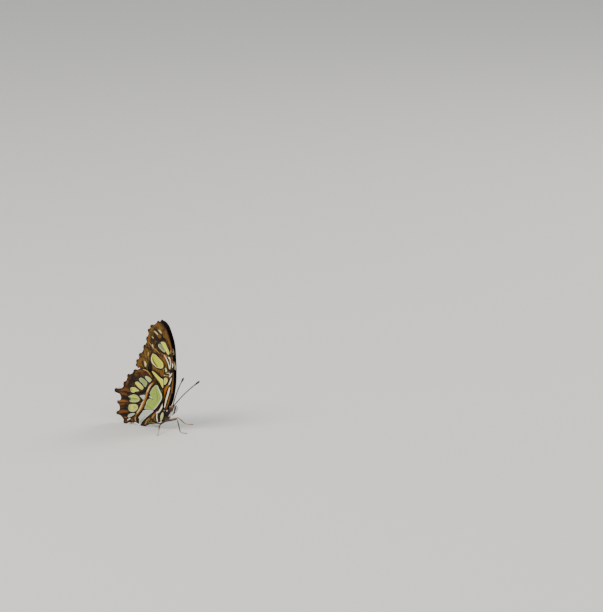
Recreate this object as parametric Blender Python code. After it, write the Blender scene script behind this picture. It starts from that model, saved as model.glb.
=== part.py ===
# Malachite butterfly at rest with its wings closed over its back, life size.
# +X runs from tail to head, +Y is the insect's left side, +Z is up, and the floor is z = 0.
# All sizes below are millimetres, measured from the root of the wings unless they say otherwise.

import math

import bmesh
import bpy
from mathutils import Matrix, Vector
from mathutils.geometry import delaunay_2d_cdt

MM = 0.001
GAP = 0.3                 # room kept between pieces that meet
ROOT_HEIGHT = 11.7        # wing root above the floor

# Wings: x is forward of the wing root, the second number is height above it.
WING_THICKNESS = 0.5
VEIN_RISE = 0.1           # height of a vein over each face
VEIN_HALF_WIDTH = 0.36
GRID_PITCH = 3.6          # spacing of the loose points that carry a wing's curve
POINT_MERGE = 0.05        # points nearer than this become one
TOOTH_ROUNDNESS = 1.5     # 1 gives the margin's teeth sharp tips, 2 gives them round ones
WING_LAYER = 1.05         # hindwing's distance outside the forewing

FORE_BASE = [(-0.6, 0.6), (1.6, 0.6)]
FORE_COSTA = [(1.6, 0.6), (4.2, 6.5), (5.7, 14.0), (6.1, 22.0), (5.8, 30.0), (5.3, 36.5),
              (3.8, 42.0), (1.5, 47.2), (-1.0, 49.7), (-3.6, 50.6)]
FORE_INNER = [(-20.1, 23.0), (-14.5, 18.2), (-8.5, 12.6), (-3.6, 7.0), (-0.6, 0.6)]
FORE_TEETH = {
    "radial_4": (-3.6, 50.6), "radial_5": (-9.0, 47.4), "medial_1": (-11.2, 44.6),
    "medial_2": (-12.3, 39.7), "medial_3": (-14.3, 34.9), "cubital_1": (-17.6, 29.7),
    "cubital_2": (-19.7, 25.8), "anal": (-20.1, 23.0)}
FORE_SCALLOP = [0.4, 0.4, 0.6, 0.8, 0.85, 0.7, 0.3]
FORE_VEINS = {
    "radial_stem": [(1.0, 1.4), (3.6, 10.0), (4.7, 20.0), (4.4, 29.0), (3.9, 33.0)],
    "radial_1": [(4.5, 24.0), (4.8, 31.0), (4.6, 38.0)],
    "radial_3": [(3.9, 33.0), (2.9, 39.0), (0.4, 46.2), (-0.9, 49.5)],
    "radial_4": [(1.9, 42.0), (-0.9, 46.4), (-3.6, 50.6)],
    "radial_5": [(3.9, 33.0), (1.2, 38.8), (-3.4, 43.6), (-9.0, 47.4)],
    "medial_1": [(2.9, 30.6), (0.9, 33.8), (-2.2, 38.2), (-6.4, 41.8), (-11.2, 44.6)],
    "medial_2": [(1.9, 29.7), (-2.4, 33.4), (-6.6, 36.6), (-12.3, 39.7)],
    "medial_3": [(0.4, 26.6), (-4.9, 30.8), (-8.7, 32.8), (-14.3, 34.9)],
    "cubital_1": [(0.0, 22.4), (-4.0, 23.3), (-9.2, 26.2), (-17.6, 29.7)],
    "cubital_2": [(-0.3, 15.0), (-4.6, 19.6), (-11.0, 23.2), (-19.7, 25.8)],
    "cubital_stem": [(0.5, 1.4), (1.0, 8.0), (-0.3, 15.0), (0.0, 22.4), (0.4, 26.6),
                     (1.9, 29.7), (2.9, 30.6), (3.9, 33.0)],
    "anal": [(-0.1, 1.6), (-2.6, 8.4), (-9.8, 15.6), (-20.1, 23.0)]}

HIND_COSTA = [(-0.9, 0.9), (-0.8, 9.6), (-4.9, 14.6), (-8.4, 18.2), (-11.6, 21.6), (-15.4, 22.6)]
HIND_TEETH = {
    "subcostal": (-15.4, 22.6), "radial": (-20.4, 20.5), "medial_1": (-25.3, 17.1),
    "medial_2": (-28.2, 12.0)}
HIND_SCALLOP = [0.35, 0.7, 0.7]
HIND_TAIL = [(-28.2, 12.0), (-28.4, 10.4), (-29.6, 8.9), (-32.2, 8.3), (-34.2, 7.8),
             (-34.7, 6.6), (-34.0, 5.6), (-31.5, 5.1), (-30.4, 3.4), (-30.8, 1.8), (-32.6, 1.1)]
HIND_TRAILING = [(-32.6, 1.1), (-33.0, 0.3), (-32.6, -0.5), (-31.6, -2.0), (-31.7, -4.0),
                 (-33.3, -5.4), (-33.7, -6.3), (-33.0, -7.0), (-30.6, -7.7), (-29.0, -9.4),
                 (-28.7, -10.9)]
HIND_LOBE_FLAT = [(-28.3, -ROOT_HEIGHT), (-26.9, -ROOT_HEIGHT)]
HIND_LOWER = [(-26.0, -11.2), (-23.2, -10.4), (-20.6, -10.3), (-18.6, -11.0)]
HIND_REST_FLAT = [(-17.4, -ROOT_HEIGHT), (-14.8, -ROOT_HEIGHT)]
HIND_FRONT = [(-12.6, -10.7), (-9.7, -9.6), (-6.3, -8.6), (-4.3, -7.9), (-2.4, -7.05),
              (-1.3, -5.9), (-0.3, -4.3), (0.1, -2.4), (-0.2, -0.5), (-0.9, 0.9)]
HIND_VEINS = {
    "subcostal": [(-1.4, 1.2), (-3.2, 9.2), (-8.0, 16.0), (-15.4, 22.6)],
    "radial": [(-1.5, 0.6), (-4.2, 6.6), (-8.8, 12.6), (-20.4, 20.5)],
    "medial_1": [(-5.9, 9.1), (-14.6, 13.6), (-25.3, 17.1)],
    "medial_2": [(-5.9, 9.1), (-9.6, 8.6), (-17.6, 10.8), (-28.2, 12.0)],
    "medial_3": [(-12.9, 3.8), (-19.0, 6.7), (-27.0, 7.6), (-34.7, 6.6)],
    "cubital_1": [(-12.6, 1.7), (-22.0, 1.5), (-33.0, 0.3)],
    "cubital_2": [(-7.6, -1.0), (-15.8, -3.3), (-24.4, -4.6), (-33.7, -6.3)],
    "cubital_stem": [(-1.6, -0.2), (-7.6, -1.0), (-12.6, 1.7), (-12.9, 3.8)],
    "anal_2": [(-1.6, -0.8), (-7.8, -4.8), (-18.0, -8.4), (-28.3, -11.0)],
    "anal_3": [(-1.7, -1.6), (-5.0, -5.6), (-11.0, -9.0), (-16.4, -11.2)]}

# Body: each station is x, height of the section's centre, half width and half height.
THORAX = [(-5.4, -3.4, 1.2, 1.5), (-4.7, -3.2, 1.7, 2.2), (-3.4, -2.9, 2.1, 2.85),
          (-1.8, -2.7, 2.3, 3.2), (-0.4, -2.5, 2.3, 3.3), (0.8, -2.1, 2.05, 3.0),
          (1.6, -1.6, 1.65, 2.45), (2.2, -1.1, 1.2, 1.75), (2.5, -0.7, 0.8, 1.1)]
ABDOMEN_FRONT = (-5.7, -3.5)
ABDOMEN_END = (-21.0, -6.6)
ABDOMEN_RADII = [(0.0, 1.15, 1.4), (0.12, 1.6, 1.95), (0.3, 1.75, 2.15), (0.5, 1.62, 2.0),
                 (0.7, 1.35, 1.65), (0.88, 0.95, 1.15), (1.0, 0.55, 0.65)]
ABDOMEN_RINGS = 7
RING_GROOVE = 0.12        # depth of the fold between two abdomen rings

HEAD_CENTRE = (4.45, 0.0, 1.0)
HEAD_RADII = (1.5, 1.75, 1.8)
HEAD_TILT = 15.0          # degrees that the crown and the eyes lean forward
CHEEK_CENTRE = (3.8, 0.0, -0.7)
CHEEK_RADII = (0.75, 1.2, 0.75)
EYE_SEAT = 1.15           # half width of the head between the eyes
EYE_CENTRE = (4.25, 1.2)
EYE_RADII = (1.3, 0.9, 1.7)
NECK_RADIUS = 0.7
FEELER_ROOT = (4.9, 0.6, 2.75)
FEELER_LENGTH = 21.0
FEELER_RADIUS = 0.25
CLUB_RADIUS = 0.46
CLUB_LENGTH = 3.6
FEELER_AIM = {"right": (10.0, -3.6, 18.2), "left": (13.9, 5.0, 14.6)}
PALP_PATH = [(4.6, 1.05, -1.1), (5.3, 1.2, -1.0), (6.0, 1.35, -0.1), (6.35, 1.4, 1.2),
             (6.4, 1.2, 2.9)]
PALP_RADII = [0.34, 0.42, 0.44, 0.4, 0.18]
TONGUE_CENTRE = (5.4, -1.4)
TONGUE_RADIUS = 0.62      # of the whole coil, whose turns touch
TONGUE_HALF_WIDTH = 0.28

# Legs: each joint is x, y, height above the wing root; toes lie on the floor.
LEGS = {
    "midleg_right": {"hip": (1.4, -1.5, -6.3), "knee": (10.3, -4.2, -3.6),
                     "ankle": (11.6, -3.4, -10.7), "toe": (15.4, -2.3)},
    "midleg_left": {"hip": (1.2, 1.5, -6.2), "knee": (1.9, 8.8, -6.5),
                    "ankle": (2.6, 14.0, -10.7), "toe": (6.3, 17.1)},
    "hindleg_right": {"hip": (-1.2, -1.5, -6.7), "knee": (0.4, -7.4, -7.9),
                      "ankle": (3.0, -12.4, -10.8), "toe": (4.5, -15.4)},
    "hindleg_left": {"hip": (-1.6, 1.2, -7.4), "knee": (-6.3, 3.8, -10.0),
                     "ankle": (-11.8, 5.4, -10.9), "toe": (-15.5, 6.2)}}
COXA_RADIUS = 0.62
FEMUR_RADII = (0.42, 0.5, 0.38, 0.34)
TIBIA_RADII = (0.29, 0.33, 0.3)    # ankle, middle, knee
TARSUS_RADIUS = 0.29
LEG_SIDES = 8
FORELEG_PATH = [(2.55, 1.35, -3.6), (3.2, 1.6, -2.9), (3.8, 1.8, -2.2), (4.15, 1.85, -1.5)]
FORELEG_RADII = [0.3, 0.42, 0.4, 0.24]

COLOURS = {
    "wing": (0.23, 0.12, 0.05), "body": (0.09, 0.06, 0.04), "eye": (0.16, 0.07, 0.03),
    "pale": (0.62, 0.55, 0.42), "feeler": (0.05, 0.035, 0.03), "leg": (0.45, 0.28, 0.16)}


def make_material(name, colour, roughness):
    material = bpy.data.materials.new(name)
    material.use_nodes = True
    shader = material.node_tree.nodes["Principled BSDF"]
    shader.inputs["Base Color"].default_value = (*colour, 1.0)
    shader.inputs["Roughness"].default_value = roughness
    shader.inputs["Metallic"].default_value = 0.0
    return material


def add_object(name, bm, material, smooth_degrees=40.0):
    """Turn a bmesh in millimetres from the wing root into a named object in metres."""
    bmesh.ops.recalc_face_normals(bm, faces=bm.faces[:])
    mesh = bpy.data.meshes.new(name)
    bm.to_mesh(mesh)
    bm.free()
    mesh.transform(Matrix.Translation((0.0, 0.0, ROOT_HEIGHT * MM)) @ Matrix.Scale(MM, 4))
    mesh.shade_smooth()
    mesh.set_sharp_from_angle(angle=math.radians(smooth_degrees))
    mesh.materials.append(material)
    obj = bpy.data.objects.new(name, mesh)
    bpy.context.scene.collection.objects.link(obj)
    return obj


def smooth_step(value):
    value = min(max(value, 0.0), 1.0)
    return value * value * (3.0 - 2.0 * value)


def blend_points(p0, p1, p2, p3, t):
    """Catmull-Rom blend between p1 and p2 of points of any length."""
    return tuple(0.5 * (2 * b + (c - a) * t + (2 * a - 5 * b + 4 * c - d) * t * t
                        + (3 * b - a - 3 * c + d) * t ** 3)
                 for a, b, c, d in zip(p0, p1, p2, p3))


def curve_through(points, steps):
    """A smooth run of points through the given ones, with steps points to each span."""
    ends = [tuple(2 * a - b for a, b in zip(points[0], points[1])), *points,
            tuple(2 * a - b for a, b in zip(points[-1], points[-2]))]
    run = []
    for i in range(1, len(ends) - 2):
        run += [blend_points(*ends[i - 1:i + 3], k / steps) for k in range(steps)]
    return run + [tuple(points[-1])]


def scalloped(teeth, depths, steps):
    """A margin of round teeth that dips in by the given depth between one and the next."""
    run = []
    for (ax, az), (bx, bz), depth in zip(teeth, teeth[1:], depths):
        length = math.hypot(bx - ax, bz - az)
        side = ((az - bz) / length, (bx - ax) / length)
        for k in range(steps):
            t = k / steps
            dip = -depth * math.sin(math.pi * t) ** TOOTH_ROUNDNESS
            run.append((ax + (bx - ax) * t - side[0] * dip, az + (bz - az) * t - side[1] * dip))
    return run + [teeth[-1]]


def fore_half_gap(x, z):
    """Distance of the forewing's middle from the insect's mid plane."""
    root_spread = 0.6 * math.exp(-(x * x + z * z) / 49.0)
    tip_spread = 0.4 * smooth_step((z - 44.0) / 8.0)
    return 1.15 + 0.03 * x + 0.010 * z + root_spread + tip_spread


def hind_half_gap(x, z):
    """Distance of the hindwing's middle from the mid plane, wider round the abdomen."""
    swell = 0.9 * math.exp(-((x + 7.0) / 9.0) ** 2 - ((z + 4.0) / 4.5) ** 2)
    tuck = 0.9 * smooth_step((-z - 8.0) / 3.5) * smooth_step((x + 28.0) / 8.0)
    return fore_half_gap(x, z) + WING_LAYER + swell - tuck


def drop_repeats(points):
    kept = [points[0]]
    for point in points[1:]:
        if math.dist(point, kept[-1]) > POINT_MERGE:
            kept.append(point)
    return kept if math.dist(kept[0], kept[-1]) > POINT_MERGE else kept[:-1]


def forewing_outline():
    return drop_repeats(curve_through(FORE_COSTA, 3)
                        + scalloped(list(FORE_TEETH.values()), FORE_SCALLOP, 5)
                        + curve_through(FORE_INNER, 2))


def hindwing_outline():
    return drop_repeats(curve_through(HIND_COSTA, 2)
                        + scalloped(list(HIND_TEETH.values()), HIND_SCALLOP, 5)
                        + curve_through(HIND_TAIL, 2) + curve_through(HIND_TRAILING, 1)
                        + HIND_LOBE_FLAT + curve_through(HIND_LOWER, 1) + HIND_REST_FLAT
                        + curve_through(HIND_FRONT, 1))


def offset_line(line, distance):
    """The same line moved sideways, which makes the foot of a vein's ridge."""
    moved = []
    for i, (x, z) in enumerate(line):
        ax, az = line[max(i - 1, 0)]
        bx, bz = line[min(i + 1, len(line) - 1)]
        length = math.hypot(bx - ax, bz - az)
        moved.append((x - (bz - az) / length * distance, z + (bx - ax) / length * distance))
    return moved


def distance_to_line(point, line):
    best = math.inf
    px, pz = point
    for (ax, az), (bx, bz) in zip(line, line[1:]):
        dx, dz = bx - ax, bz - az
        t = min(max(((px - ax) * dx + (pz - az) * dz) / (dx * dx + dz * dz), 0.0), 1.0)
        best = min(best, math.hypot(px - ax - dx * t, pz - az - dz * t))
    return best


def inside(point, outline):
    px, pz = point
    hit = False
    for (ax, az), (bx, bz) in zip(outline, outline[1:] + outline[:1]):
        if (az > pz) != (bz > pz) and px < ax + (pz - az) / (bz - az) * (bx - ax):
            hit = not hit
    return hit


def loose_points(outline, lines):
    """Points on an even grid, clear of the margin and the veins, that carry the wing's curve."""
    xs, zs = zip(*outline)
    room = GRID_PITCH * 0.4
    closed = outline + outline[:1]
    found = []
    for i in range(int((max(xs) - min(xs)) / GRID_PITCH) + 1):
        for k in range(int((max(zs) - min(zs)) / GRID_PITCH) + 1):
            point = (min(xs) + (i + 0.5 * (k % 2)) * GRID_PITCH, min(zs) + k * GRID_PITCH)
            if not inside(point, outline) or distance_to_line(point, closed) < room:
                continue
            if all(distance_to_line(point, line) > room for line in lines):
                found.append(point)
    return found


def make_wing(name, side, outline, veins, half_gap, material):
    """A thin closed wing: one flat net of triangles, raised along the veins on both faces."""
    lines = [curve_through(points, 3) for points in veins.values()]
    coords, edges = list(outline), []
    for line in lines:
        for run in (line, offset_line(line, VEIN_HALF_WIDTH), offset_line(line, -VEIN_HALF_WIDTH)):
            edges += [(len(coords) + i, len(coords) + i + 1) for i in range(len(run) - 1)]
            coords += run
    coords += loose_points(outline, lines)
    net = delaunay_2d_cdt([Vector(point) for point in coords], edges,
                          [list(range(len(outline)))], 1, POINT_MERGE)
    flat, triangles = net[0], net[2]
    bm = bmesh.new()
    faces = []
    for face_side in (1.0, -1.0):
        points = {}
        for index in sorted({i for triangle in triangles for i in triangle}):
            x, z = flat[index]
            nearest = min(distance_to_line((x, z), line) for line in lines)
            rise = VEIN_RISE * max(0.0, 1.0 - nearest / VEIN_HALF_WIDTH)
            across = half_gap(x, z) + face_side * (WING_THICKNESS / 2 + rise)
            points[index] = bm.verts.new((x, side * across, z))
        faces.append(points)
    outer, inner = faces
    rim = {}
    for triangle in triangles:
        bm.faces.new([outer[i] for i in triangle])
        bm.faces.new([inner[i] for i in reversed(triangle)])
        for a, b in zip(triangle, triangle[1:] + triangle[:1]):
            if (b, a) in rim:
                del rim[(b, a)]
            else:
                rim[(a, b)] = True
    for a, b in rim:
        bm.faces.new([outer[b], outer[a], inner[a]])
        bm.faces.new([outer[b], inner[a], inner[b]])
    return add_object(name, bm, material, 60.0)


def ring_frames(path, first_side=None):
    """Side and up directions at each point of a path, turned as little as possible."""
    frames = []
    side = first_side
    for i, point in enumerate(path):
        before = path[max(i - 1, 0)]
        after = path[min(i + 1, len(path) - 1)]
        along = (after - before).normalized()
        if side is None:
            side = along.cross(Vector((0.0, 0.0, 1.0)))
            if side.length < 0.1:
                side = along.cross(Vector((0.0, 1.0, 0.0)))
        side = (side - along * side.dot(along)).normalized()
        frames.append((point, side, along.cross(side)))
    return frames


def tube_bmesh(path, radii, sides):
    """A tube through the path with its own radius at each point, and flat ends."""
    bm = bmesh.new()
    rings = []
    for (centre, side, up), radius in zip(ring_frames([Vector(p) for p in path]), radii):
        ring = []
        for k in range(sides):
            angle = math.tau * (k + 0.5) / sides
            ring.append(bm.verts.new(centre + side * radius * math.cos(angle)
                                     + up * radius * math.sin(angle)))
        rings.append(ring)
    join_rings(bm, rings)
    return bm


def join_rings(bm, rings):
    for near, far in zip(rings, rings[1:]):
        for k in range(len(near)):
            n = (k + 1) % len(near)
            bm.faces.new([near[k], near[n], far[n], far[k]])
    bm.faces.new(list(reversed(rings[0])))
    bm.faces.new(rings[-1])
    bmesh.ops.triangulate(bm, faces=bm.faces[:])


def section_loft(stations, sides):
    """A body lofted through upright oval sections given as x, height, half width, half height."""
    bm = bmesh.new()
    rings = []
    for x, height, half_width, half_height in stations:
        rings.append([bm.verts.new((x, half_width * math.cos(math.tau * k / sides),
                                    height + half_height * math.sin(math.tau * k / sides)))
                      for k in range(sides)])
    join_rings(bm, rings)
    return bm


def box_bmesh(low, high):
    bm = bmesh.new()
    bmesh.ops.create_cube(bm, size=1.0)
    size = Vector(high) - Vector(low)
    bmesh.ops.scale(bm, vec=size, verts=bm.verts[:])
    bmesh.ops.translate(bm, vec=(Vector(high) + Vector(low)) / 2, verts=bm.verts[:])
    bmesh.ops.triangulate(bm, faces=bm.faces[:])
    return bm


def join_pieces(name, base, extras, material):
    """Fuse closed pieces into the base object and keep the largest closed surface."""
    body = add_object(name, base, material)
    group = bpy.data.collections.new(name + "_extras")
    for i, extra in enumerate(extras):
        piece = add_object(f"{name}_extra_{i}", extra, material)
        bpy.context.scene.collection.objects.unlink(piece)
        group.objects.link(piece)
    union = body.modifiers.new("fuse", "BOOLEAN")
    union.operation = "UNION"
    union.operand_type = "COLLECTION"
    union.collection = group
    union.solver = "EXACT"
    depsgraph = bpy.context.evaluated_depsgraph_get()
    fused = bpy.data.meshes.new_from_object(body.evaluated_get(depsgraph))
    body.modifiers.clear()
    body.data = fused
    for piece in list(group.objects):
        bpy.data.objects.remove(piece)
    bpy.data.collections.remove(group)
    keep_largest(fused)
    fused.set_sharp_from_angle(angle=math.radians(40.0))
    return body


def keep_largest(mesh):
    bm = bmesh.new()
    bm.from_mesh(mesh)
    waiting = set(bm.verts)
    groups = []
    while waiting:
        group, edge_of_group = set(), [waiting.pop()]
        while edge_of_group:
            vert = edge_of_group.pop()
            group.add(vert)
            for edge in vert.link_edges:
                other = edge.other_vert(vert)
                if other in waiting:
                    waiting.discard(other)
                    edge_of_group.append(other)
        groups.append(group)
    groups.sort(key=len)
    for group in groups[:-1]:
        bmesh.ops.delete(bm, geom=list(group), context="VERTS")
    bmesh.ops.triangulate(bm, faces=bm.faces[:])
    bm.to_mesh(mesh)
    bm.free()


def mirrored(point, side):
    return (point[0], point[1] * side, point[2])


def toward(start, end, distance):
    """The point that lies the given distance from start on the way to end."""
    start, end = Vector(start), Vector(end)
    return start + (end - start).normalized() * distance


def wing_socket(x_low, x_high, z_low, z_high, half_gap, side):
    """A raised pad on the thorax whose outer face meets the inner face of a wing."""
    reach = min(half_gap(x, z) for x in (x_low, x_high) for z in (z_low, z_high))
    outer = reach - WING_THICKNESS / 2 - VEIN_RISE - GAP
    inner = outer - 1.4
    low = (x_low, min(side * inner, side * outer), z_low)
    high = (x_high, max(side * inner, side * outer), z_high)
    return box_bmesh(low, high)


def make_thorax(material):
    extras = []
    for side in (1.0, -1.0):
        fore_y = fore_half_gap(0.5, FORE_BASE[0][1])
        shoulder = (FORE_BASE[0][0] - 0.1, FORE_BASE[1][0] + 0.1)
        low = (shoulder[0], min(side * (fore_y - 0.6), side * (fore_y + 0.4)), -1.6)
        high = (shoulder[1], max(side * (fore_y - 0.6), side * (fore_y + 0.4)),
                FORE_BASE[0][1] - GAP)
        extras.append(box_bmesh(low, high))
        extras.append(wing_socket(-3.2, -1.3, -1.8, 0.3, hind_half_gap, side))
        root, root_next = (mirrored(point, side) for point in FORELEG_PATH[:2])
        extras.append(tube_bmesh([(0.8, side * 0.7, -3.4), toward(root, root_next, -GAP - 0.5),
                                  toward(root, root_next, -GAP)], [0.5, 0.45, 0.4], 10))
    for leg in LEGS.values():
        hip = Vector(leg["hip"])
        seat = toward(hip, leg["knee"], -GAP)
        elbow = toward(hip, leg["knee"], -GAP - COXA_RADIUS - 0.2)
        inner = Vector((elbow.x, hip.y * 0.4, hip.z + 2.6))
        extras.append(tube_bmesh([inner, elbow.lerp(inner, 0.4), elbow, seat],
                                 [COXA_RADIUS + 0.1, COXA_RADIUS, COXA_RADIUS, 0.46], 10))
    trunk = section_loft(curve_through(THORAX, 2), 24)
    return join_pieces("thorax", trunk, extras, material)


def abdomen_radii(t):
    """Half width and half height along the abdomen, from its front (0) to its end (1)."""
    for (t0, w0, h0), (t1, w1, h1) in zip(ABDOMEN_RADII, ABDOMEN_RADII[1:]):
        if t <= t1:
            f = smooth_step((t - t0) / (t1 - t0)) * 0.4 + (t - t0) / (t1 - t0) * 0.6
            return w0 + (w1 - w0) * f, h0 + (h1 - h0) * f
    return ABDOMEN_RADII[-1][1:]


def make_abdomen(material):
    """Rings that overlap toward the tail, each with a shallow fold where the next begins."""
    stations = []
    for ring in range(ABDOMEN_RINGS):
        for part, drop in ((0.02, 1.0), (0.2, 0.1), (0.75, 0.0)):
            t = (ring + part) / ABDOMEN_RINGS
            half_width, half_height = abdomen_radii(t)
            sag = 0.5 * math.sin(math.pi * t)
            x = ABDOMEN_FRONT[0] + (ABDOMEN_END[0] - ABDOMEN_FRONT[0]) * t
            z = ABDOMEN_FRONT[1] + (ABDOMEN_END[1] - ABDOMEN_FRONT[1]) * t + sag
            groove = RING_GROOVE * drop if ring else 0.0
            stations.append((x, z, half_width - groove, half_height - groove))
    stations.append((ABDOMEN_END[0], ABDOMEN_END[1], 0.4, 0.5))
    return add_object("abdomen", section_loft(stations, 18), material, 35.0)


def ball_bmesh(centre, radii, segments, rings, tilt_degrees=0.0):
    """An ellipsoid whose top leans forward by the tilt."""
    bm = bmesh.new()
    bmesh.ops.create_uvsphere(bm, u_segments=segments, v_segments=rings, radius=1.0)
    bmesh.ops.scale(bm, vec=radii, verts=bm.verts[:])
    bmesh.ops.rotate(bm, cent=(0.0, 0.0, 0.0), verts=bm.verts[:],
                     matrix=Matrix.Rotation(math.radians(tilt_degrees), 3, "Y"))
    bmesh.ops.translate(bm, vec=centre, verts=bm.verts[:])
    return bm


def slice_off(bm, point, normal):
    """Cut away what lies on the normal's side of a plane and close the cut."""
    cut = bmesh.ops.bisect_plane(bm, geom=bm.verts[:] + bm.edges[:] + bm.faces[:], dist=1e-5,
                                 plane_co=point, plane_no=normal, clear_outer=True)
    rim = [item for item in cut["geom_cut"] if isinstance(item, bmesh.types.BMEdge)]
    bmesh.ops.contextual_create(bm, geom=rim)
    bmesh.ops.triangulate(bm, faces=bm.faces[:])


def make_head(material):
    skull = ball_bmesh(HEAD_CENTRE, HEAD_RADII, 24, 16, HEAD_TILT)
    for side in (1.0, -1.0):
        slice_off(skull, (0.0, side * EYE_SEAT, 0.0), (0.0, side, 0.0))
    neck_x = THORAX[-1][0] + GAP
    neck_z = THORAX[-1][1] + 0.1
    extras = [section_loft([(neck_x, neck_z, NECK_RADIUS, 0.8),
                            (neck_x + 0.5, neck_z + 0.3, NECK_RADIUS, 0.8),
                            (neck_x + 1.4, neck_z + 1.1, NECK_RADIUS, 0.8)], 14),
              ball_bmesh(CHEEK_CENTRE, CHEEK_RADII, 16, 10)]
    for name, side in (("left", 1.0), ("right", -1.0)):
        root = Vector(mirrored(FEELER_ROOT, side))
        aim = root + Vector(FEELER_AIM[name])
        extras.append(tube_bmesh([toward(root, aim, -1.2), toward(root, aim, -0.6), root],
                                 [0.36, 0.36, 0.36], 10))
        palp = Vector(mirrored(PALP_PATH[0], side))
        palp_next = Vector(mirrored(PALP_PATH[1], side))
        extras.append(tube_bmesh([toward(palp, palp_next, -1.2), toward(palp, palp_next, -0.8),
                                  toward(palp, palp_next, -GAP)], [0.3, 0.34, 0.34], 10))
    mouth_x = TONGUE_CENTRE[0]
    mouth_z = TONGUE_CENTRE[1] + TONGUE_RADIUS + GAP
    extras.append(tube_bmesh([(mouth_x, 0.0, mouth_z + 0.9), (mouth_x, 0.0, mouth_z + 0.4),
                              (mouth_x, 0.0, mouth_z)], [0.34, 0.34, 0.3], 10))
    return join_pieces("head", skull, extras, material)


def make_eye(name, side, material):
    seat = EYE_SEAT + GAP
    eye = ball_bmesh((EYE_CENTRE[0], side * (seat - 0.05), EYE_CENTRE[1]), EYE_RADII, 20, 12,
                     HEAD_TILT)
    slice_off(eye, (0.0, side * seat, 0.0), (0.0, -side, 0.0))
    return add_object(name, eye, material)


def make_feeler(name, side, aim, material):
    root = toward(mirrored(FEELER_ROOT, side),
                  Vector(mirrored(FEELER_ROOT, side)) + Vector(aim), GAP)
    along = Vector(aim).normalized()
    sag = along.cross(Vector((0.0, 1.0, 0.0))).normalized()
    shaft = FEELER_LENGTH - CLUB_LENGTH
    stops = [(0.0, 0.3), (0.6, 0.3), (0.9, FEELER_RADIUS), (shaft * 0.25, FEELER_RADIUS),
             (shaft * 0.5, FEELER_RADIUS), (shaft * 0.75, FEELER_RADIUS), (shaft, FEELER_RADIUS),
             (shaft + CLUB_LENGTH * 0.3, CLUB_RADIUS * 0.85), (shaft + CLUB_LENGTH * 0.6, CLUB_RADIUS),
             (shaft + CLUB_LENGTH * 0.88, CLUB_RADIUS * 0.8), (FEELER_LENGTH, 0.14)]
    path = [root + along * s + sag * 0.7 * math.sin(math.pi * s / FEELER_LENGTH) for s, _ in stops]
    return add_object(name, tube_bmesh(path, [r for _, r in stops], 8), material)


def make_palp(name, side, material):
    path = curve_through([mirrored(point, side) for point in PALP_PATH], 2)
    radii = [r[0] for r in curve_through([(r,) for r in PALP_RADII], 2)]
    return add_object(name, tube_bmesh(path, radii, 10), material)


def make_tongue(material):
    """The tongue, rolled so tight that its coil is one round disc with a full rim."""
    x, z = TONGUE_CENTRE
    stops = [(-1.0, 0.7), (-0.6, 1.0), (0.6, 1.0), (1.0, 0.7)]
    path = [(x, TONGUE_HALF_WIDTH * across, z) for across, _ in stops]
    radii = [TONGUE_RADIUS * share for _, share in stops]
    return add_object("proboscis", tube_bmesh(path, radii, 16), material)


def make_leg(name, leg, material):
    """A thigh node, and a shin and foot node whose sole is a flat on the floor."""
    hip, knee, ankle = Vector(leg["hip"]), Vector(leg["knee"]), Vector(leg["ankle"])
    sole = -ROOT_HEIGHT + TARSUS_RADIUS * math.cos(math.pi / LEG_SIDES)
    toe = Vector((*leg["toe"], sole))
    heel = toe.lerp(Vector((ankle.x, ankle.y, sole)), 0.5)
    thigh_end = toward(knee, hip, GAP / 2)
    thigh = [hip, hip.lerp(thigh_end, 0.35), hip.lerp(thigh_end, 0.75), thigh_end]
    add_object(name + "_femur", tube_bmesh(thigh, FEMUR_RADII, LEG_SIDES), material)
    bend = (hip - knee).normalized().dot((ankle - knee).normalized())   # -1 where the leg is straight
    shin_start = toward(knee, ankle, GAP + 0.4 * (1.0 + bend))
    shin = [toe, toe.lerp(heel, 0.55), heel, ankle.lerp(heel, 0.25),
            ankle.lerp(shin_start, 0.12), ankle.lerp(shin_start, 0.55), shin_start]
    radii = [TARSUS_RADIUS] * 4 + list(TIBIA_RADII)
    add_object(name + "_tibia", tube_bmesh(shin, radii, LEG_SIDES), material)


def make_foreleg(name, side, material):
    path = curve_through([mirrored(point, side) for point in FORELEG_PATH], 2)
    radii = [r[0] for r in curve_through([(r,) for r in FORELEG_RADII], 2)]
    return add_object(name, tube_bmesh(path, radii, 8), material)


def centre_on_floor():
    """Move every object so that the middle of the whole box stands over the origin."""
    points = [vert.co for obj in bpy.data.objects for vert in obj.data.vertices]
    middle_x = (min(p.x for p in points) + max(p.x for p in points)) / 2
    middle_y = (min(p.y for p in points) + max(p.y for p in points)) / 2
    for obj in bpy.data.objects:
        obj.data.transform(Matrix.Translation((-middle_x, -middle_y, 0.0)))


def main():
    for obj in list(bpy.data.objects):
        bpy.data.objects.remove(obj)
    materials = {name: make_material(name, colour, 0.6) for name, colour in COLOURS.items()}
    make_thorax(materials["body"])
    make_abdomen(materials["body"])
    make_head(materials["body"])
    make_tongue(materials["feeler"])
    for name, side in (("left", 1.0), ("right", -1.0)):
        make_wing("forewing_" + name, side, forewing_outline(), FORE_VEINS, fore_half_gap,
                  materials["wing"])
        make_wing("hindwing_" + name, side, hindwing_outline(), HIND_VEINS, hind_half_gap,
                  materials["wing"])
        make_eye("eye_" + name, side, materials["eye"])
        make_palp("palp_" + name, side, materials["pale"])
        make_feeler("antenna_" + name, side, FEELER_AIM[name], materials["feeler"])
        make_foreleg("foreleg_" + name, side, materials["pale"])
    for name, leg in LEGS.items():
        make_leg(name, leg, materials["leg"])
    centre_on_floor()


main()
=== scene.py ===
import math

import bpy
import numpy as np
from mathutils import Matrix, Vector
from mathutils.geometry import delaunay_2d_cdt


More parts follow.
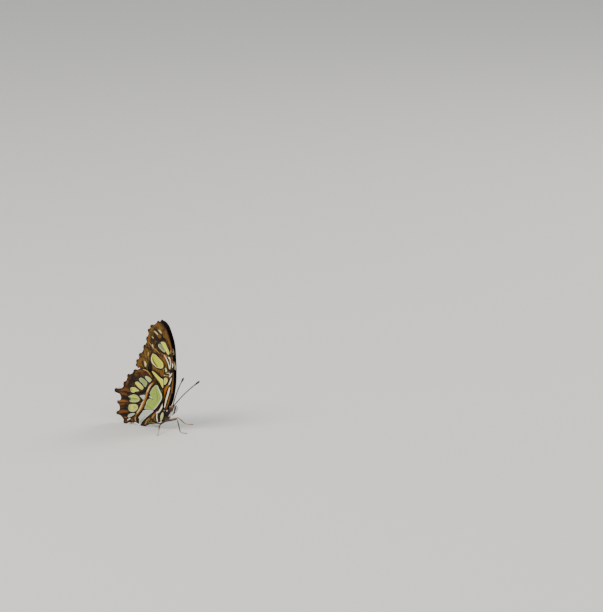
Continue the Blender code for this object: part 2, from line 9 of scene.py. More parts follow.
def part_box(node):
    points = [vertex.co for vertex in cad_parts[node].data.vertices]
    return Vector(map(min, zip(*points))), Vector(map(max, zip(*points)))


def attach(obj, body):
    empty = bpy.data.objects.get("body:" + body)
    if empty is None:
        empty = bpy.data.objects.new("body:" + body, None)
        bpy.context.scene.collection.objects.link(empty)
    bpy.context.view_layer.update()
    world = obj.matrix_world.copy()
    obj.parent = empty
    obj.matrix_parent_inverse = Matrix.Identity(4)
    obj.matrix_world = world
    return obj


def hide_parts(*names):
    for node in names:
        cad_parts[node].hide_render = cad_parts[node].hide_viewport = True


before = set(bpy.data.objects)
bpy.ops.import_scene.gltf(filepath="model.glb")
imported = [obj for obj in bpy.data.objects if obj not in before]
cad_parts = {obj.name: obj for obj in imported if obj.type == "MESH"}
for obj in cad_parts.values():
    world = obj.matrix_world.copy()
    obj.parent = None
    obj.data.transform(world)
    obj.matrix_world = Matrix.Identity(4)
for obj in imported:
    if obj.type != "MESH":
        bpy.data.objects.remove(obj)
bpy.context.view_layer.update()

mm = 0.001
draws = np.random.default_rng(11)     # every random draw comes from here, in order

# Sizes below are millimetres from the wing root: x forward, y to the insect's left, z up.
tailReach = 34.7                      # how far the hindwing's tail lies behind the wing root
rootHeight = 11.7                     # wing root above the floor
rightSide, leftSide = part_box("hindwing_right")[0].y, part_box("hindwing_left")[1].y
rootPlace = np.array([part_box("hindwing_right")[0].x / mm + tailReach,
                      (rightSide + leftSide) / 2 / mm, rootHeight])
sides = {"right": -1.0, "left": 1.0}


# Small tools

def smoothStep(value):
    value = np.clip(value, 0.0, 1.0)
    return value * value * (3.0 - 2.0 * value)


def hexColour(code):
    channels = [int(code[start:start + 2], 16) / 255 for start in (1, 3, 5)]
    return (*[c / 12.92 if c <= 0.04045 else ((c + 0.055) / 1.055) ** 2.4 for c in channels], 1.0)


def unit(lines):
    return lines / np.maximum(np.linalg.norm(lines, axis=-1, keepdims=True), 1e-9)


def mirrored(point, side):
    return np.array([point[0], point[1] * side, point[2]])


def curveThrough(points, steps, closed=False):
    # smooth run through the given points, with steps points to each span
    points = np.array(points, float)
    if closed:
        ends = np.vstack([points[-1:], points, points[:2]])
    else:
        ends = np.vstack([2 * points[:1] - points[1:2], points, 2 * points[-1:] - points[-2:-1]])
    t = (np.arange(steps) / steps)[:, None]
    runs = []
    for i in range(1, len(ends) - 2):
        a, b, c, d = ends[i - 1:i + 3]
        runs.append(0.5 * (2 * b + (c - a) * t + (2 * a - 5 * b + 4 * c - d) * t ** 2
                           + (3 * b - a - 3 * c + d) * t ** 3))
    return np.vstack(runs if closed else runs + [points[-1:]])


def radiiThrough(radii, steps):
    return curveThrough([(radius,) for radius in radii], steps)[:, 0]


def strokeDistance(flat, run):
    # mm from each point to a stroke of (x, z, half width), below zero inside it
    start, step = run[:-1], run[1:] - run[:-1]
    away = flat[:, None, :] - start[None, :, :2]
    t = np.clip((away * step[:, :2]).sum(-1) / np.maximum((step[:, :2] ** 2).sum(-1), 1e-9), 0, 1)
    gap = np.linalg.norm(away - t[..., None] * step[:, :2], axis=-1)
    return (gap - start[:, 2] - t * step[:, 2]).min(1)


def insideLoop(flat, loop):
    x, z = flat[:, :1], flat[:, 1:]
    ax, az = loop[:, 0], loop[:, 1]
    bx, bz = np.roll(ax, -1), np.roll(az, -1)
    crosses = (az > z) != (bz > z)
    meet = ax + (z - az) / np.where(bz == az, 1e-9, bz - az) * (bx - ax)
    return (crosses & (x < meet)).sum(1) % 2 == 1


def loopDistance(flat, loop):
    # mm from each point to a closed loop, below zero inside it
    run = np.pad(np.vstack([loop, loop[:1]]), ((0, 0), (0, 1)))
    return strokeDistance(flat, run) * np.where(insideLoop(flat, loop), -1.0, 1.0)


def addObject(name, data):
    thing = bpy.data.objects.new(name, data)
    bpy.context.scene.collection.objects.link(thing)
    return thing


def addPiece(name, shape, materials, slot, nodes=(), smoothDegrees=50.0, **fields):
    # a piece of the butterfly; shape is its points and faces, and fields hold a number for each
    # point, which its materials read
    points, faces = shape
    placed = np.asarray(points) + rootPlace
    placed[:, 2] = np.maximum(placed[:, 2], 0.0)                            # nothing sinks into the floor
    mesh = bpy.data.meshes.new(name)
    mesh.from_pydata((placed * mm).tolist(), [], faces)
    mesh.shade_smooth()
    mesh.set_sharp_from_angle(angle=math.radians(smoothDegrees))
    for material in materials:
        mesh.materials.append(material)
    for field, values in fields.items():
        layer = mesh.attributes.new(field, "FLOAT", "POINT")
        layer.data.foreach_set("value", np.asarray(values, np.float32))
    piece = addObject(name, mesh)
    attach(piece, "root")
    if nodes:
        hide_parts(*nodes)
    return piece


def cornerPoints(piece):
    corners = np.empty(len(piece.data.loops), np.int32)
    piece.data.loops.foreach_get("vertex_index", corners)
    return corners


def setBakeMap(piece, cornerPlaces):
    layer = piece.data.uv_layers.new(name="OFBake")
    layer.data.foreach_set("uv", np.asarray(cornerPlaces, np.float32).ravel())


def mapPlace(across, upward):
    # shares of an unrolled shape, kept off the map's edges
    return np.column_stack([0.02 + 0.94 * across, 0.02 + 0.94 * upward])


def joinParts(parts):
    # parts are (points, faces) pairs
    points, faces, first = [], [], 0
    for partPoints, partFaces in parts:
        points.append(partPoints)
        faces += [[first + i for i in face] for face in partFaces]
        first += len(partPoints)
    return np.vstack(points), faces


def ringFaces(rings, count, first=0):
    # faces between rings of count points each
    faces = []
    for start in range(first, first + (rings - 1) * count, count):
        for k in range(count):
            n = (k + 1) % count
            faces.append([start + k, start + n, start + count + n, start + count + k])
    return faces


def sweep(path, radii, count):
    # a closed tube through the path, with its own radius at each point
    path = np.asarray(path, float)
    padded = np.vstack([path[:1], path, path[-1:]])
    alongs = unit(padded[2:] - padded[:-2])
    side = np.cross(alongs[0], (0.0, 0.0, 1.0))
    if np.linalg.norm(side) < 0.2:
        side = np.cross(alongs[0], (0.0, 1.0, 0.0))
    turn = np.arange(count)[:, None] * math.tau / count
    points = []
    for centre, along, radius in zip(path, alongs, np.broadcast_to(radii, len(path))):
        side = unit(side - along * side.dot(along))
        points.append(centre + radius * (np.cos(turn) * side + np.sin(turn) * np.cross(along, side)))
    points = np.vstack(points + [path[:1], path[-1:]])
    faces = ringFaces(len(path), count)
    last = (len(path) - 1) * count
    for k in range(count):
        n = (k + 1) % count
        faces.append([len(points) - 2, n, k])
        faces.append([len(points) - 1, last + k, last + n])
    return points, faces


def tubeField(values, count):
    # a number for each point of a swept tube, from one for each point of its path
    return np.concatenate([np.repeat(values, count), [values[0], values[-1]]])


def loft(stations, count):
    # a closed body through upright oval sections
    turn = np.arange(count) * math.tau / count
    points = [np.column_stack([np.full(count, x), halfWidth * np.cos(turn), z + halfHeight * np.sin(turn)])
              for x, z, halfWidth, halfHeight in stations]
    ends = [list(range(count))[::-1], list(range((len(stations) - 1) * count, len(stations) * count))]
    return np.vstack(points), ringFaces(len(stations), count) + ends


def ball(centre, radii, columns=32, rows=20, tilt=0.0):
    turn = np.arange(columns) * math.tau / columns
    rings = []
    for rise in np.arange(1, rows) * math.pi / rows:
        rings.append(np.column_stack([math.sin(rise) * np.cos(turn), math.sin(rise) * np.sin(turn),
                                      np.full(columns, -math.cos(rise))]))
    x, y, z = (np.vstack([[(0.0, 0.0, -1.0)], *rings, [(0.0, 0.0, 1.0)]]) * radii).T
    lean = math.radians(tilt)
    points = np.column_stack([x * math.cos(lean) + z * math.sin(lean), y,
                              z * math.cos(lean) - x * math.sin(lean)]) + centre
    faces = ringFaces(rows - 1, columns, 1)
    last = 1 + (rows - 2) * columns
    for k in range(columns):
        n = (k + 1) % columns
        faces.append([0, 1 + n, 1 + k])
        faces.append([last + k, last + n, len(points) - 1])
    return points, faces


# a blade's seven points: two rings of three and a tip, and its patch of the bake map
bladeFaces = [(0, 2, 1), (0, 1, 4, 3), (1, 2, 5, 4), (2, 0, 3, 5), (3, 4, 6), (4, 5, 6), (5, 3, 6)]
bladeRings = [(-0.06, 0.7), (0.55, 1.0)]    # each ring's share of the length and of the width
bladePatch = np.array([(-1, -1), (1, -1), (0, -1), (-1, 0.3), (1, 0.3), (0, 0.3), (0, 1)]) * 0.0015


def addBlades(name, roots, alongs, outs, lengths, size, material, slot, places, tone):
    # tapered three-sided blades that bend toward outs, in one piece; size is their width,
    # thickness and droop, and places are their roots on the bake map
    width, thickness, droop = size
    alongs = unit(alongs)
    across = unit(np.cross(alongs, outs))
    outs = np.cross(across, alongs)
    lengths = lengths[:, None]
    points = np.empty((len(roots), 7, 3))
    for level, (reach, wide) in enumerate(bladeRings):
        middle = roots + alongs * lengths * reach + outs * lengths * droop * max(reach, 0) ** 2
        points[:, level * 3] = middle - across * width * wide / 2
        points[:, level * 3 + 1] = middle + across * width * wide / 2
        points[:, level * 3 + 2] = middle + outs * thickness * (1.0 - 0.5 * level)
    points[:, 6] = roots + alongs * lengths + outs * lengths * droop
    faces = [[first + i for i in face] for first in range(0, len(roots) * 7, 7) for face in bladeFaces]
    piece = addPiece(name, (points.reshape(-1, 3), faces), [material], slot, tone=np.repeat(tone, 7))
    setBakeMap(piece, (places[:, None] + bladePatch).reshape(-1, 2)[cornerPoints(piece)])


def newMaterial(name, **finish):
    # a material with the shader's fixed values set on its own sockets
    material = bpy.data.materials.new(name)
    material.use_nodes = True
    shader = material.node_tree.nodes["Principled BSDF"]
    for socket, value in finish.items():
        shader.inputs[socket.replace("_", " ")].default_value = value
    return material, material.node_tree


def addNode(tree, kind, inputs=None, out=0, stops=(), **choices):
    # a new shader node with its choices, which gives one of its outputs; an input is a value or
    # another node's output, and stops are a ramp's (position, colour code) pairs in order
    # (a Mix node's share and two colours are its inputs 0, 6 and 7, its colour is output 2)
    node = tree.nodes.new("ShaderNode" + kind)
    for name, value in choices.items():
        setattr(node, name, value)
    for socket, value in (inputs or {}).items():
        if isinstance(value, bpy.types.NodeSocket):
            tree.links.new(value, node.inputs[socket])
        else:
            node.inputs[socket].default_value = value
    for place, (position, code) in enumerate(stops):
        elements = node.color_ramp.elements                                 # a new ramp has two
        element = elements[place] if place < 2 else elements.new(position)
        element.position, element.color = position, hexColour(code)
    return node.outputs[out]


def placeInMm(tree):
    return addNode(tree, "VectorMath", {0: addNode(tree, "TexCoord", out="Object"), "Scale": 1 / mm},
                   operation="SCALE")


def grained(tree, colour, noise, low, high):
    # the colour made darker and lighter by a noise, as single scales differ
    shade = addNode(tree, "MapRange", {"Value": noise, "From Min": 0.3, "From Max": 0.7,
                                       "To Min": low, "To Max": high})
    return addNode(tree, "Mix", {0: 1.0, 6: colour, 7: shade}, 2, data_type="RGBA", blend_type="MULTIPLY")


def joinSurface(tree, colour, height, strength, depth):
    # colour and relief, depth in mm, go to the material's shader
    bump = addNode(tree, "Bump", {"Height": height, "Strength": strength, "Distance": depth * mm})
    shader = tree.nodes["Principled BSDF"]
    tree.links.new(colour, shader.inputs["Base Color"])
    tree.links.new(bump, shader.inputs["Normal"])


# Camera, floor and light

view = {
    "azimuth": 32.479, "elevation": 11.859,      # degrees, from the front quarter and a little above
    "distance": 1800.0,
    "mmPerPixel": 0.562, "pictureSize": (603, 612),
    "rootPixel": (166.465, 409.197),             # where the photo has the wing root
}


def makeCamera():
    turn, rise = math.radians(view["azimuth"]), math.radians(view["elevation"])
    right = np.array([math.cos(turn), math.sin(turn), 0.0])
    ahead = np.array([-math.sin(turn) * math.cos(rise), math.cos(turn) * math.cos(rise), -math.sin(rise)])
    up = np.cross(right, ahead)
    width, height = view["pictureSize"]
    shiftRight = (width / 2 - view["rootPixel"][0]) * view["mmPerPixel"]
    shiftUp = (view["rootPixel"][1] - height / 2) * view["mmPerPixel"]
    target = rootPlace + right * shiftRight + up * shiftUp
    data = bpy.data.cameras.new("camera")
    data.lens = view["distance"] / view["mmPerPixel"] * data.sensor_width / height
    data.clip_start = 0.05
    data.dof.use_dof = False
    camera = addObject("camera", data)
    camera.location = Vector((target - ahead * view["distance"]) * mm)
    camera.rotation_euler = Vector(ahead).to_track_quat("-Z", "Y").to_euler()
    bpy.context.scene.camera = camera
    print("camera stands at", [round(value, 3) for value in camera.location])


studio = {
    "floor": "#ECEAE4", "floorHalf": 6.0,
    "world": "#EEF2F6", "worldStrength": 0.62,
    # place in metres, size, watts and colour of each soft light, which faces "lit"
    "lights": {
        "key": ((-0.55, -1.1, 1.15), 0.8, 20.0, "#FFF8EE"),
        "fill": ((1.3, -0.7, 0.6), 1.0, 6.5, "#EEF4FF"),
        "back": ((0.5, 1.2, 1.1), 0.8, 11.0, "#FFFDF6")},
    "lit": (0.0, 0.0, 0.03),
}


def makeStudio():
    half = studio["floorHalf"]
    mesh = bpy.data.meshes.new("floor")
    mesh.from_pydata([(-half, -half, 0), (half, -half, 0), (half, half, 0), (-half, half, 0)], [],
                     [(0, 1, 2, 3)])
    # Matt painted board: soft shadows and no shine.
    board, _ = newMaterial("mattBoard", Roughness=0.85, Base_Color=hexColour(studio["floor"]))
    mesh.materials.append(board)
    floor = addObject("floor", mesh)
    world = bpy.data.worlds.new("paleRoom")
    world.use_nodes = True
    background = world.node_tree.nodes["Background"]
    background.inputs["Color"].default_value = hexColour(studio["world"])
    background.inputs["Strength"].default_value = studio["worldStrength"]
    bpy.context.scene.world = world
    for name, (place, size, watts, colour) in studio["lights"].items():
        data = bpy.data.lights.new(name, "AREA")
        data.size = size
        data.energy = watts
        data.color = hexColour(colour)[:3]
        light = addObject(name, data)
        light.location = place
        light.rotation_euler = (Vector(studio["lit"]) - Vector(place)).to_track_quat("-Z", "Y").to_euler()
    print("floor and lights are up")


# Wings: outline and veins, x forward of the wing root and z above it

foreWing = {
    "costa": [(1.6, 0.6), (4.2, 6.5), (5.7, 14.0), (6.1, 22.0), (5.8, 30.0), (5.3, 36.5),
              (3.8, 42.0), (1.5, 47.2), (-1.0, 49.7), (-3.6, 50.6)],
    "inner": [(-20.1, 23.0), (-14.5, 18.2), (-8.5, 12.6), (-3.6, 7.0), (-0.6, 0.6)],
    "teeth": [(-3.6, 50.6), (-9.0, 47.4), (-11.2, 44.6), (-12.3, 39.7), (-14.3, 34.9),
              (-17.6, 29.7), (-19.7, 25.8), (-20.1, 23.0)],
    "scallop": [0.4, 0.4, 0.6, 0.8, 0.85, 0.7, 0.3],
    "veins": {
        "radialStem": [(1.0, 1.4), (3.6, 10.0), (4.7, 20.0), (4.4, 29.0), (3.9, 33.0)],
        "radial1": [(4.5, 24.0), (4.8, 31.0), (4.6, 38.0)],
        "radial3": [(3.9, 33.0), (2.9, 39.0), (0.4, 46.2), (-0.9, 49.5)],
        "radial4": [(1.9, 42.0), (-0.9, 46.4), (-3.6, 50.6)],
        "radial5": [(3.9, 33.0), (1.2, 38.8), (-3.4, 43.6), (-9.0, 47.4)],
        "medial1": [(2.9, 30.6), (0.9, 33.8), (-2.2, 38.2), (-6.4, 41.8), (-11.2, 44.6)],
        "medial2": [(1.9, 29.7), (-2.4, 33.4), (-6.6, 36.6), (-12.3, 39.7)],
        "medial3": [(0.4, 26.6), (-4.9, 30.8), (-8.7, 32.8), (-14.3, 34.9)],
        "cubital1": [(0.0, 22.4), (-4.0, 23.3), (-9.2, 26.2), (-17.6, 29.7)],
        "cubital2": [(-0.3, 15.0), (-4.6, 19.6), (-11.0, 23.2), (-19.7, 25.8)],
        "cubitalStem": [(0.5, 1.4), (1.0, 8.0), (-0.3, 15.0), (0.0, 22.4), (0.4, 26.6),
                        (1.9, 29.7), (2.9, 30.6), (3.9, 33.0)],
        "anal": [(-0.1, 1.6), (-2.6, 8.4), (-9.8, 15.6), (-20.1, 23.0)]},
}

hindWing = {
    "costa": [(-0.9, 0.9), (-0.8, 9.6), (-4.9, 14.6), (-8.4, 18.2), (-11.6, 21.6), (-15.4, 22.6)],
    "teeth": [(-15.4, 22.6), (-20.4, 20.5), (-25.3, 17.1), (-28.2, 12.0)],
    "scallop": [0.35, 0.7, 0.7],
    "tail": [(-28.2, 12.0), (-28.4, 10.4), (-29.6, 8.9), (-32.2, 8.3), (-34.2, 7.8),
             (-34.7, 6.6), (-34.0, 5.6), (-31.5, 5.1), (-30.4, 3.4), (-30.8, 1.8), (-32.6, 1.1)],
    "trailing": [(-32.6, 1.1), (-33.0, 0.3), (-32.6, -0.5), (-31.6, -2.0), (-31.7, -4.0),
                 (-33.3, -5.4), (-33.7, -6.3), (-33.0, -7.0), (-30.6, -7.7), (-29.0, -9.4),
                 (-28.7, -10.9)],
    "lobeFlat": [(-28.3, -11.7), (-26.9, -11.7)],
    "lower": [(-26.0, -11.2), (-23.2, -10.4), (-20.6, -10.3), (-18.6, -11.0)],
    "restFlat": [(-17.4, -11.7), (-14.8, -11.7)],
    "front": [(-12.6, -10.7), (-9.7, -9.6), (-6.3, -8.6), (-4.3, -7.9), (-2.4, -7.05),
              (-1.3, -5.9), (-0.3, -4.3), (0.1, -2.4), (-0.2, -0.5), (-0.9, 0.9)],
    "veins": {
        "subcostal": [(-1.4, 1.2), (-3.2, 9.2), (-8.0, 16.0), (-15.4, 22.6)],
        "radial": [(-1.5, 0.6), (-4.2, 6.6), (-8.8, 12.6), (-20.4, 20.5)],
        "medial1": [(-5.9, 9.1), (-14.6, 13.6), (-25.3, 17.1)],
        "medial2": [(-5.9, 9.1), (-9.6, 8.6), (-17.6, 10.8), (-28.2, 12.0)],
        "medial3": [(-12.9, 3.8), (-19.0, 6.7), (-27.0, 7.6), (-34.7, 6.6)],
        "cubital1": [(-12.6, 1.7), (-22.0, 1.5), (-33.0, 0.3)],
        "cubital2": [(-7.6, -1.0), (-15.8, -3.3), (-24.4, -4.6), (-33.7, -6.3)],
        "cubitalStem": [(-1.6, -0.2), (-7.6, -1.0), (-12.6, 1.7), (-12.9, 3.8)],
        "anal2": [(-1.6, -0.8), (-7.8, -4.8), (-18.0, -8.4), (-28.3, -11.0)],
        "anal3": [(-1.7, -1.6), (-5.0, -5.6), (-11.0, -9.0), (-16.4, -11.2)]},
}

wingSheet = {
    "pitch": 0.31,            # spacing of the net's points
    "veinRows": (0.0, 0.15, -0.15),              # rows of points on and beside each vein
    "thickness": 0.2,         # scales and membrane together
    "rimThickness": 0.08, "rimWidth": 0.9,
    "veinRise": 0.14, "veinSpread": 0.2,
    "pleat": 0.16, "pleatWidth": 1.4,            # how far the membrane sinks between two veins
    # the middle of the closed forewing lies halfGap from the insect's mid plane, and wider by
    # these shares of x and z, at its root and at its tip
    "halfGap": 1.15, "forward": 0.03, "upward": 0.010,
    "rootSpread": 0.6, "rootReach": 7.0,
    "tipSpread": 0.4, "tipStart": 44.0, "tipReach": 8.0,
    # the hindwing lies one layer outside it, swells over the abdomen and tucks in below
    "layer": 1.05,
    "swell": 0.9, "swellPlace": (-7.0, -4.0), "swellReach": (9.0, 4.5),
    "tuck": 0.9, "tuckBelow": 8.0, "tuckDepth": 3.5, "tuckStart": -28.0, "tuckReach": 8.0,
}

# Markings of the underside, in layers from the ground up. A stroke is (x, z, half width)
# along a curve; a patch is its tint, from 0 grey-white to 1 yellow, and a closed loop.
foreMarks = {
    "shade": [
        [(-6.6, 42.0, 0.8), (-5.4, 39.9, 1.21), (-3.2, 39.6, 0.94), (-0.4, 40.5, 1.07),
         (0.8, 40.1, 0.54)],
        [(-9.0, 31.7, 0.27), (-6.7, 34.6, 0.48), (-5.4, 37.8, 0.67)],
        [(-9.8, 25.7, 0.57), (-9.8, 23.5, 1.15), (-9.2, 22.1, 0.77)],
        [(-14.2, 35.2, 0.27), (-9.9, 33.7, 0.4), (-8.0, 33.1, 0.4)],
        [(3.0, 37.8, 0.4), (3.8, 34.9, 0.4), (4.4, 31.4, 0.4)],
        [(5.3, 21.5, 0.23), (5.0, 17.7, 0.27), (4.0, 13.9, 0.19)],
    ],
    "rust": [
        [(-6.3, 48.0, 0.67), (-3.8, 48.3, 0.8), (-0.8, 46.6, 0.54)],
        [(-10.6, 43.3, 0.67), (-10.4, 39.8, 0.67), (-11.1, 37.1, 0.54)],
        [(0.9, 44.8, 0.67), (2.4, 41.4, 0.59), (4.2, 37.5, 0.48), (5.1, 34.3, 0.38)],
        [(-4.4, 41.5, 0.38), (-1.9, 42.1, 0.48)],
        [(-3.6, 35.0, 0.27), (-2.1, 32.6, 0.32), (0.4, 31.4, 0.54)],
        [(-2.8, 29.9, 0.31), (-0.2, 28.1, 0.42), (1.4, 26.1, 0.38), (1.6, 24.8, 0.23)],
        [(-5.2, 22.5, 0.54), (-3.4, 21.6, 0.77), (-1.8, 20.9, 0.8), (-1.4, 20.0, 0.57)],
        [(-1.6, 23.1, 0.57), (-0.9, 22.5, 0.38)],
        [(5.9, 30.7, 0.48), (6.1, 28.9, 0.38), (5.2, 27.7, 0.27)],
        [(6.2, 21.9, 0.34), (6.1, 18.8, 0.46), (5.6, 15.1, 0.54), (5.1, 11.9, 0.5), (4.9, 10.0, 0.46)],
        [(5.3, 14.6, 0.5), (4.9, 12.5, 0.42), (4.0, 10.0, 0.31)],
        [(-16.6, 26.9, 1.07), (-18.2, 23.8, 0.94), (-17.9, 22.8, 0.54)],
    ],
    "orange": [
        [(-1.4, 32.0, 0.19), (0.3, 31.7, 0.31), (1.9, 31.1, 0.31), (2.5, 30.4, 0.15)],
        [(6.9, 24.2, 0.15), (6.4, 23.1, 0.15)],
        [(2.3, 14.3, 0.38), (1.4, 13.0, 0.57), (0.5, 11.6, 0.65), (0.0, 9.7, 0.5)],
        [(1.6, 13.5, 0.57), (0.5, 11.6, 0.65), (-0.2, 9.4, 0.46), (-0.6, 7.2, 0.31), (-0.9, 6.1, 0.23)],
        [(3.8, 8.7, 0.15), (2.7, 5.5, 0.23), (2.1, 2.8, 0.23), (1.2, 1.1, 0.27)],
        [(-0.8, 23.6, 0.19), (-0.8, 21.8, 0.27), (-1.2, 20.6, 0.19)],
    ],
    "black": [
        [(-1.9, 42.6, 0.21), (-0.7, 41.0, 0.59), (0.8, 40.1, 0.48)],
        [(-6.5, 45.9, 0.16), (-4.1, 44.1, 0.21), (-1.6, 42.6, 0.21)],
        [(-7.8, 44.7, 0.13), (-6.3, 42.6, 0.21), (-4.1, 40.8, 0.21)],
        [(-5.1, 38.1, 0.38), (-4.8, 35.3, 0.38), (-3.0, 33.5, 0.43), (-0.5, 32.5, 0.48),
         (1.3, 32.3, 0.48), (2.9, 31.3, 0.43)],
        [(-7.7, 31.9, 0.27), (-5.4, 31.1, 0.31), (-3.5, 29.5, 0.27), (-1.5, 27.9, 0.27),
         (-0.5, 26.2, 0.27), (-0.5, 24.4, 0.38)],
        [(-8.8, 31.6, 0.34), (-10.0, 28.7, 0.34), (-10.3, 26.0, 0.38), (-10.9, 23.8, 0.42),
         (-11.2, 21.9, 0.42), (-9.9, 20.6, 0.46), (-9.0, 19.0, 0.27)],
        [(-9.8, 25.7, 0.46), (-9.6, 23.9, 0.88), (-9.4, 22.1, 0.88), (-8.5, 20.7, 0.23)],
        [(-9.6, 20.4, 0.15), (-7.7, 18.2, 0.34), (-5.8, 16.2, 0.38), (-4.0, 14.1, 0.31),
         (-2.0, 11.8, 0.23)],
        [(-7.6, 24.6, 0.23), (-5.6, 23.3, 0.27), (-2.7, 22.9, 0.34), (-0.9, 23.9, 0.31)],
        [(-7.6, 22.0, 0.27), (-5.6, 20.9, 0.34), (-3.9, 19.5, 0.38), (-2.3, 18.4, 0.46),
         (-1.2, 17.8, 0.38)],
        [(-0.1, 25.5, 0.27), (0.0, 24.1, 0.34), (-0.2, 22.0, 0.31), (-0.7, 20.3, 0.27)],
        [(1.8, 27.2, 0.19), (2.3, 25.1, 0.27), (2.2, 22.9, 0.38), (1.9, 21.8, 0.27), (0.6, 21.4, 0.27)],
        [(2.3, 29.5, 0.23), (2.8, 27.9, 0.27), (3.6, 26.4, 0.23)],
        [(4.1, 28.3, 0.15), (4.8, 26.0, 0.19), (4.2, 24.2, 0.27)],
        [(2.6, 23.3, 0.34), (3.6, 22.9, 0.57), (4.7, 22.8, 0.8), (6.0, 23.4, 0.5), (6.5, 24.1, 0.27)],
        [(4.3, 22.2, 0.38), (3.9, 21.5, 0.15)],
        [(-0.7, 20.2, 0.23), (0.4, 20.7, 0.19), (1.7, 20.5, 0.23), (3.2, 20.3, 0.31)],
        [(-1.5, 17.7, 0.31), (-0.6, 18.7, 0.34), (0.6, 19.1, 0.31), (1.9, 19.2, 0.31),
         (2.8, 18.4, 0.27), (2.3, 16.5, 0.23), (0.5, 14.0, 0.31), (-0.9, 12.9, 0.34)],
        [(-0.8, 17.7, 0.17), (-0.9, 14.2, 0.19)],
        [(4.8, 19.6, 0.23), (3.9, 18.7, 0.31), (3.2, 17.1, 0.27), (1.8, 15.1, 0.27),
         (-0.2, 13.4, 0.38), (-0.9, 11.8, 0.23), (-1.0, 9.6, 0.19)],
        [(5.2, 19.6, 0.23), (4.8, 17.5, 0.23), (4.1, 15.4, 0.5), (3.4, 14.0, 0.38), (2.2, 12.4, 0.27),
         (1.6, 10.3, 0.27)],
        [(3.6, 13.9, 0.19), (4.0, 12.1, 0.23), (4.0, 10.3, 0.23)],
        [(2.5, 13.3, 0.27), (1.3, 10.6, 0.29), (0.5, 8.3, 0.31), (0.0, 5.8, 0.31), (-0.4, 4.0, 0.34),
         (-1.1, 1.7, 0.31), (-1.5, 0.0, 0.23)],
        [(4.1, 13.7, 0.27), (3.8, 11.1, 0.23), (2.8, 8.0, 0.27), (2.1, 5.4, 0.27), (1.3, 3.1, 0.27),
         (0.7, 1.2, 0.23)],
        [(4.9, 9.8, 0.31), (4.0, 7.1, 0.38), (3.2, 4.4, 0.38), (2.4, 2.5, 0.34), (1.7, 0.6, 0.38)],
        [(0.8, 39.1, 0.21), (2.3, 36.2, 0.27), (3.5, 34.1, 0.27), (3.6, 31.5, 0.43)],
    ],
    "patch": [
        (0.9, [(-2.3, 38.6), (-0.9, 38.9), (0.5, 38.6), (1.5, 37.1), (2.5, 35.3), (3.4, 33.8),
         (3.3, 32.4), (2.6, 32.0), (1.5, 33.2), (0.3, 34.8), (-0.6, 36.1), (-1.7, 37.5)]),
        (0.25, [(-4.4, 36.7), (-3.6, 37.4), (-2.5, 37.4), (-1.6, 36.4), (-0.3, 35.0), (0.6, 33.7),
         (0.0, 33.1), (-1.1, 33.5), (-2.7, 34.6), (-3.9, 35.7)]),
        (0.75, [(-8.2, 31.2), (-7.2, 31.1), (-5.9, 30.6), (-4.4, 29.5), (-2.8, 28.3), (-1.5, 27.1),
         (-1.0, 26.0), (-1.0, 24.7), (-1.6, 23.8), (-2.7, 23.4), (-4.0, 23.5), (-5.6, 23.7),
         (-6.9, 24.6), (-8.2, 25.5), (-9.1, 26.6), (-9.4, 27.8), (-9.2, 29.3), (-8.7, 30.7)]),
        (1.0, [(-8.9, 21.1), (-8.2, 21.0), (-6.9, 20.4), (-5.5, 19.5), (-4.0, 18.4), (-2.7, 17.8),
         (-1.6, 17.4), (-1.1, 16.8), (-1.1, 15.1), (-1.2, 13.4), (-1.5, 12.2), (-2.0, 12.7),
         (-2.9, 14.1), (-3.9, 15.6), (-5.3, 16.9), (-6.6, 18.2), (-7.9, 19.5), (-8.7, 20.4)]),
        (0.8, [(-0.5, 17.9), (0.3, 18.4), (1.4, 18.4), (1.9, 17.3), (1.5, 16.1), (0.5, 14.7),
         (-0.3, 14.5), (-0.6, 15.5), (-0.4, 16.9)]),
        (0.75, [(0.3, 24.2), (1.0, 24.0), (1.6, 23.1), (1.5, 22.1), (0.6, 21.9), (0.4, 23.0)]),
    ],
    "olive": [
        [(-3.3, 37.1, 0.11), (-2.0, 35.9, 0.21), (-0.5, 34.3, 0.16)],
        [(-8.3, 28.9, 0.2), (-7.7, 27.1, 0.36), (-6.4, 25.4, 0.38), (-4.9, 24.2, 0.28)],
        [(-7.9, 30.2, 0.15), (-7.3, 29.7, 0.19)],
        [(-8.1, 19.3, 0.15), (-6.6, 17.5, 0.23), (-4.8, 15.7, 0.27), (-4.0, 14.7, 0.11)],
    ],
    "yellow": [
        [(-1.1, 38.4, 0.27), (0.2, 36.7, 0.38), (1.1, 35.3, 0.38), (2.4, 33.2, 0.21)],
        [(-6.3, 30.4, 0.19), (-4.6, 29.2, 0.27), (-2.8, 27.7, 0.31), (-1.5, 26.3, 0.34),
         (-1.8, 24.4, 0.34)],
        [(-8.3, 20.6, 0.19), (-6.6, 19.5, 0.38), (-4.8, 18.3, 0.42), (-3.0, 17.1, 0.5),
         (-1.9, 15.4, 0.42), (-1.6, 13.2, 0.19)],
        [(1.0, 17.6, 0.23), (1.0, 16.3, 0.27)],
    ],
    "tan": [
        [(-11.2, 31.4, 0.38), (-11.5, 29.9, 0.38)],
        [(-10.4, 37.2, 0.21), (-7.1, 34.0, 0.21)],
        [(-6.5, 34.2, 0.19), (-5.0, 33.0, 0.19), (-3.6, 31.9, 0.11)],
        [(4.5, 34.5, 0.27), (4.5, 33.0, 0.23)],
        [(0.6, 19.6, 0.15), (2.4, 19.8, 0.19)],
    ],
    "buff": [
        [(-6.9, 44.3, 0.24), (-5.6, 43.6, 0.38), (-4.6, 42.7, 0.3)],
        [(-3.7, 45.3, 0.2), (-2.7, 44.6, 0.38), (-1.9, 43.8, 0.2)],
        [(-8.5, 40.9, 0.2), (-7.7, 40.3, 0.22)],
        [(-8.3, 36.2, 0.34), (-8.2, 35.3, 0.28)],
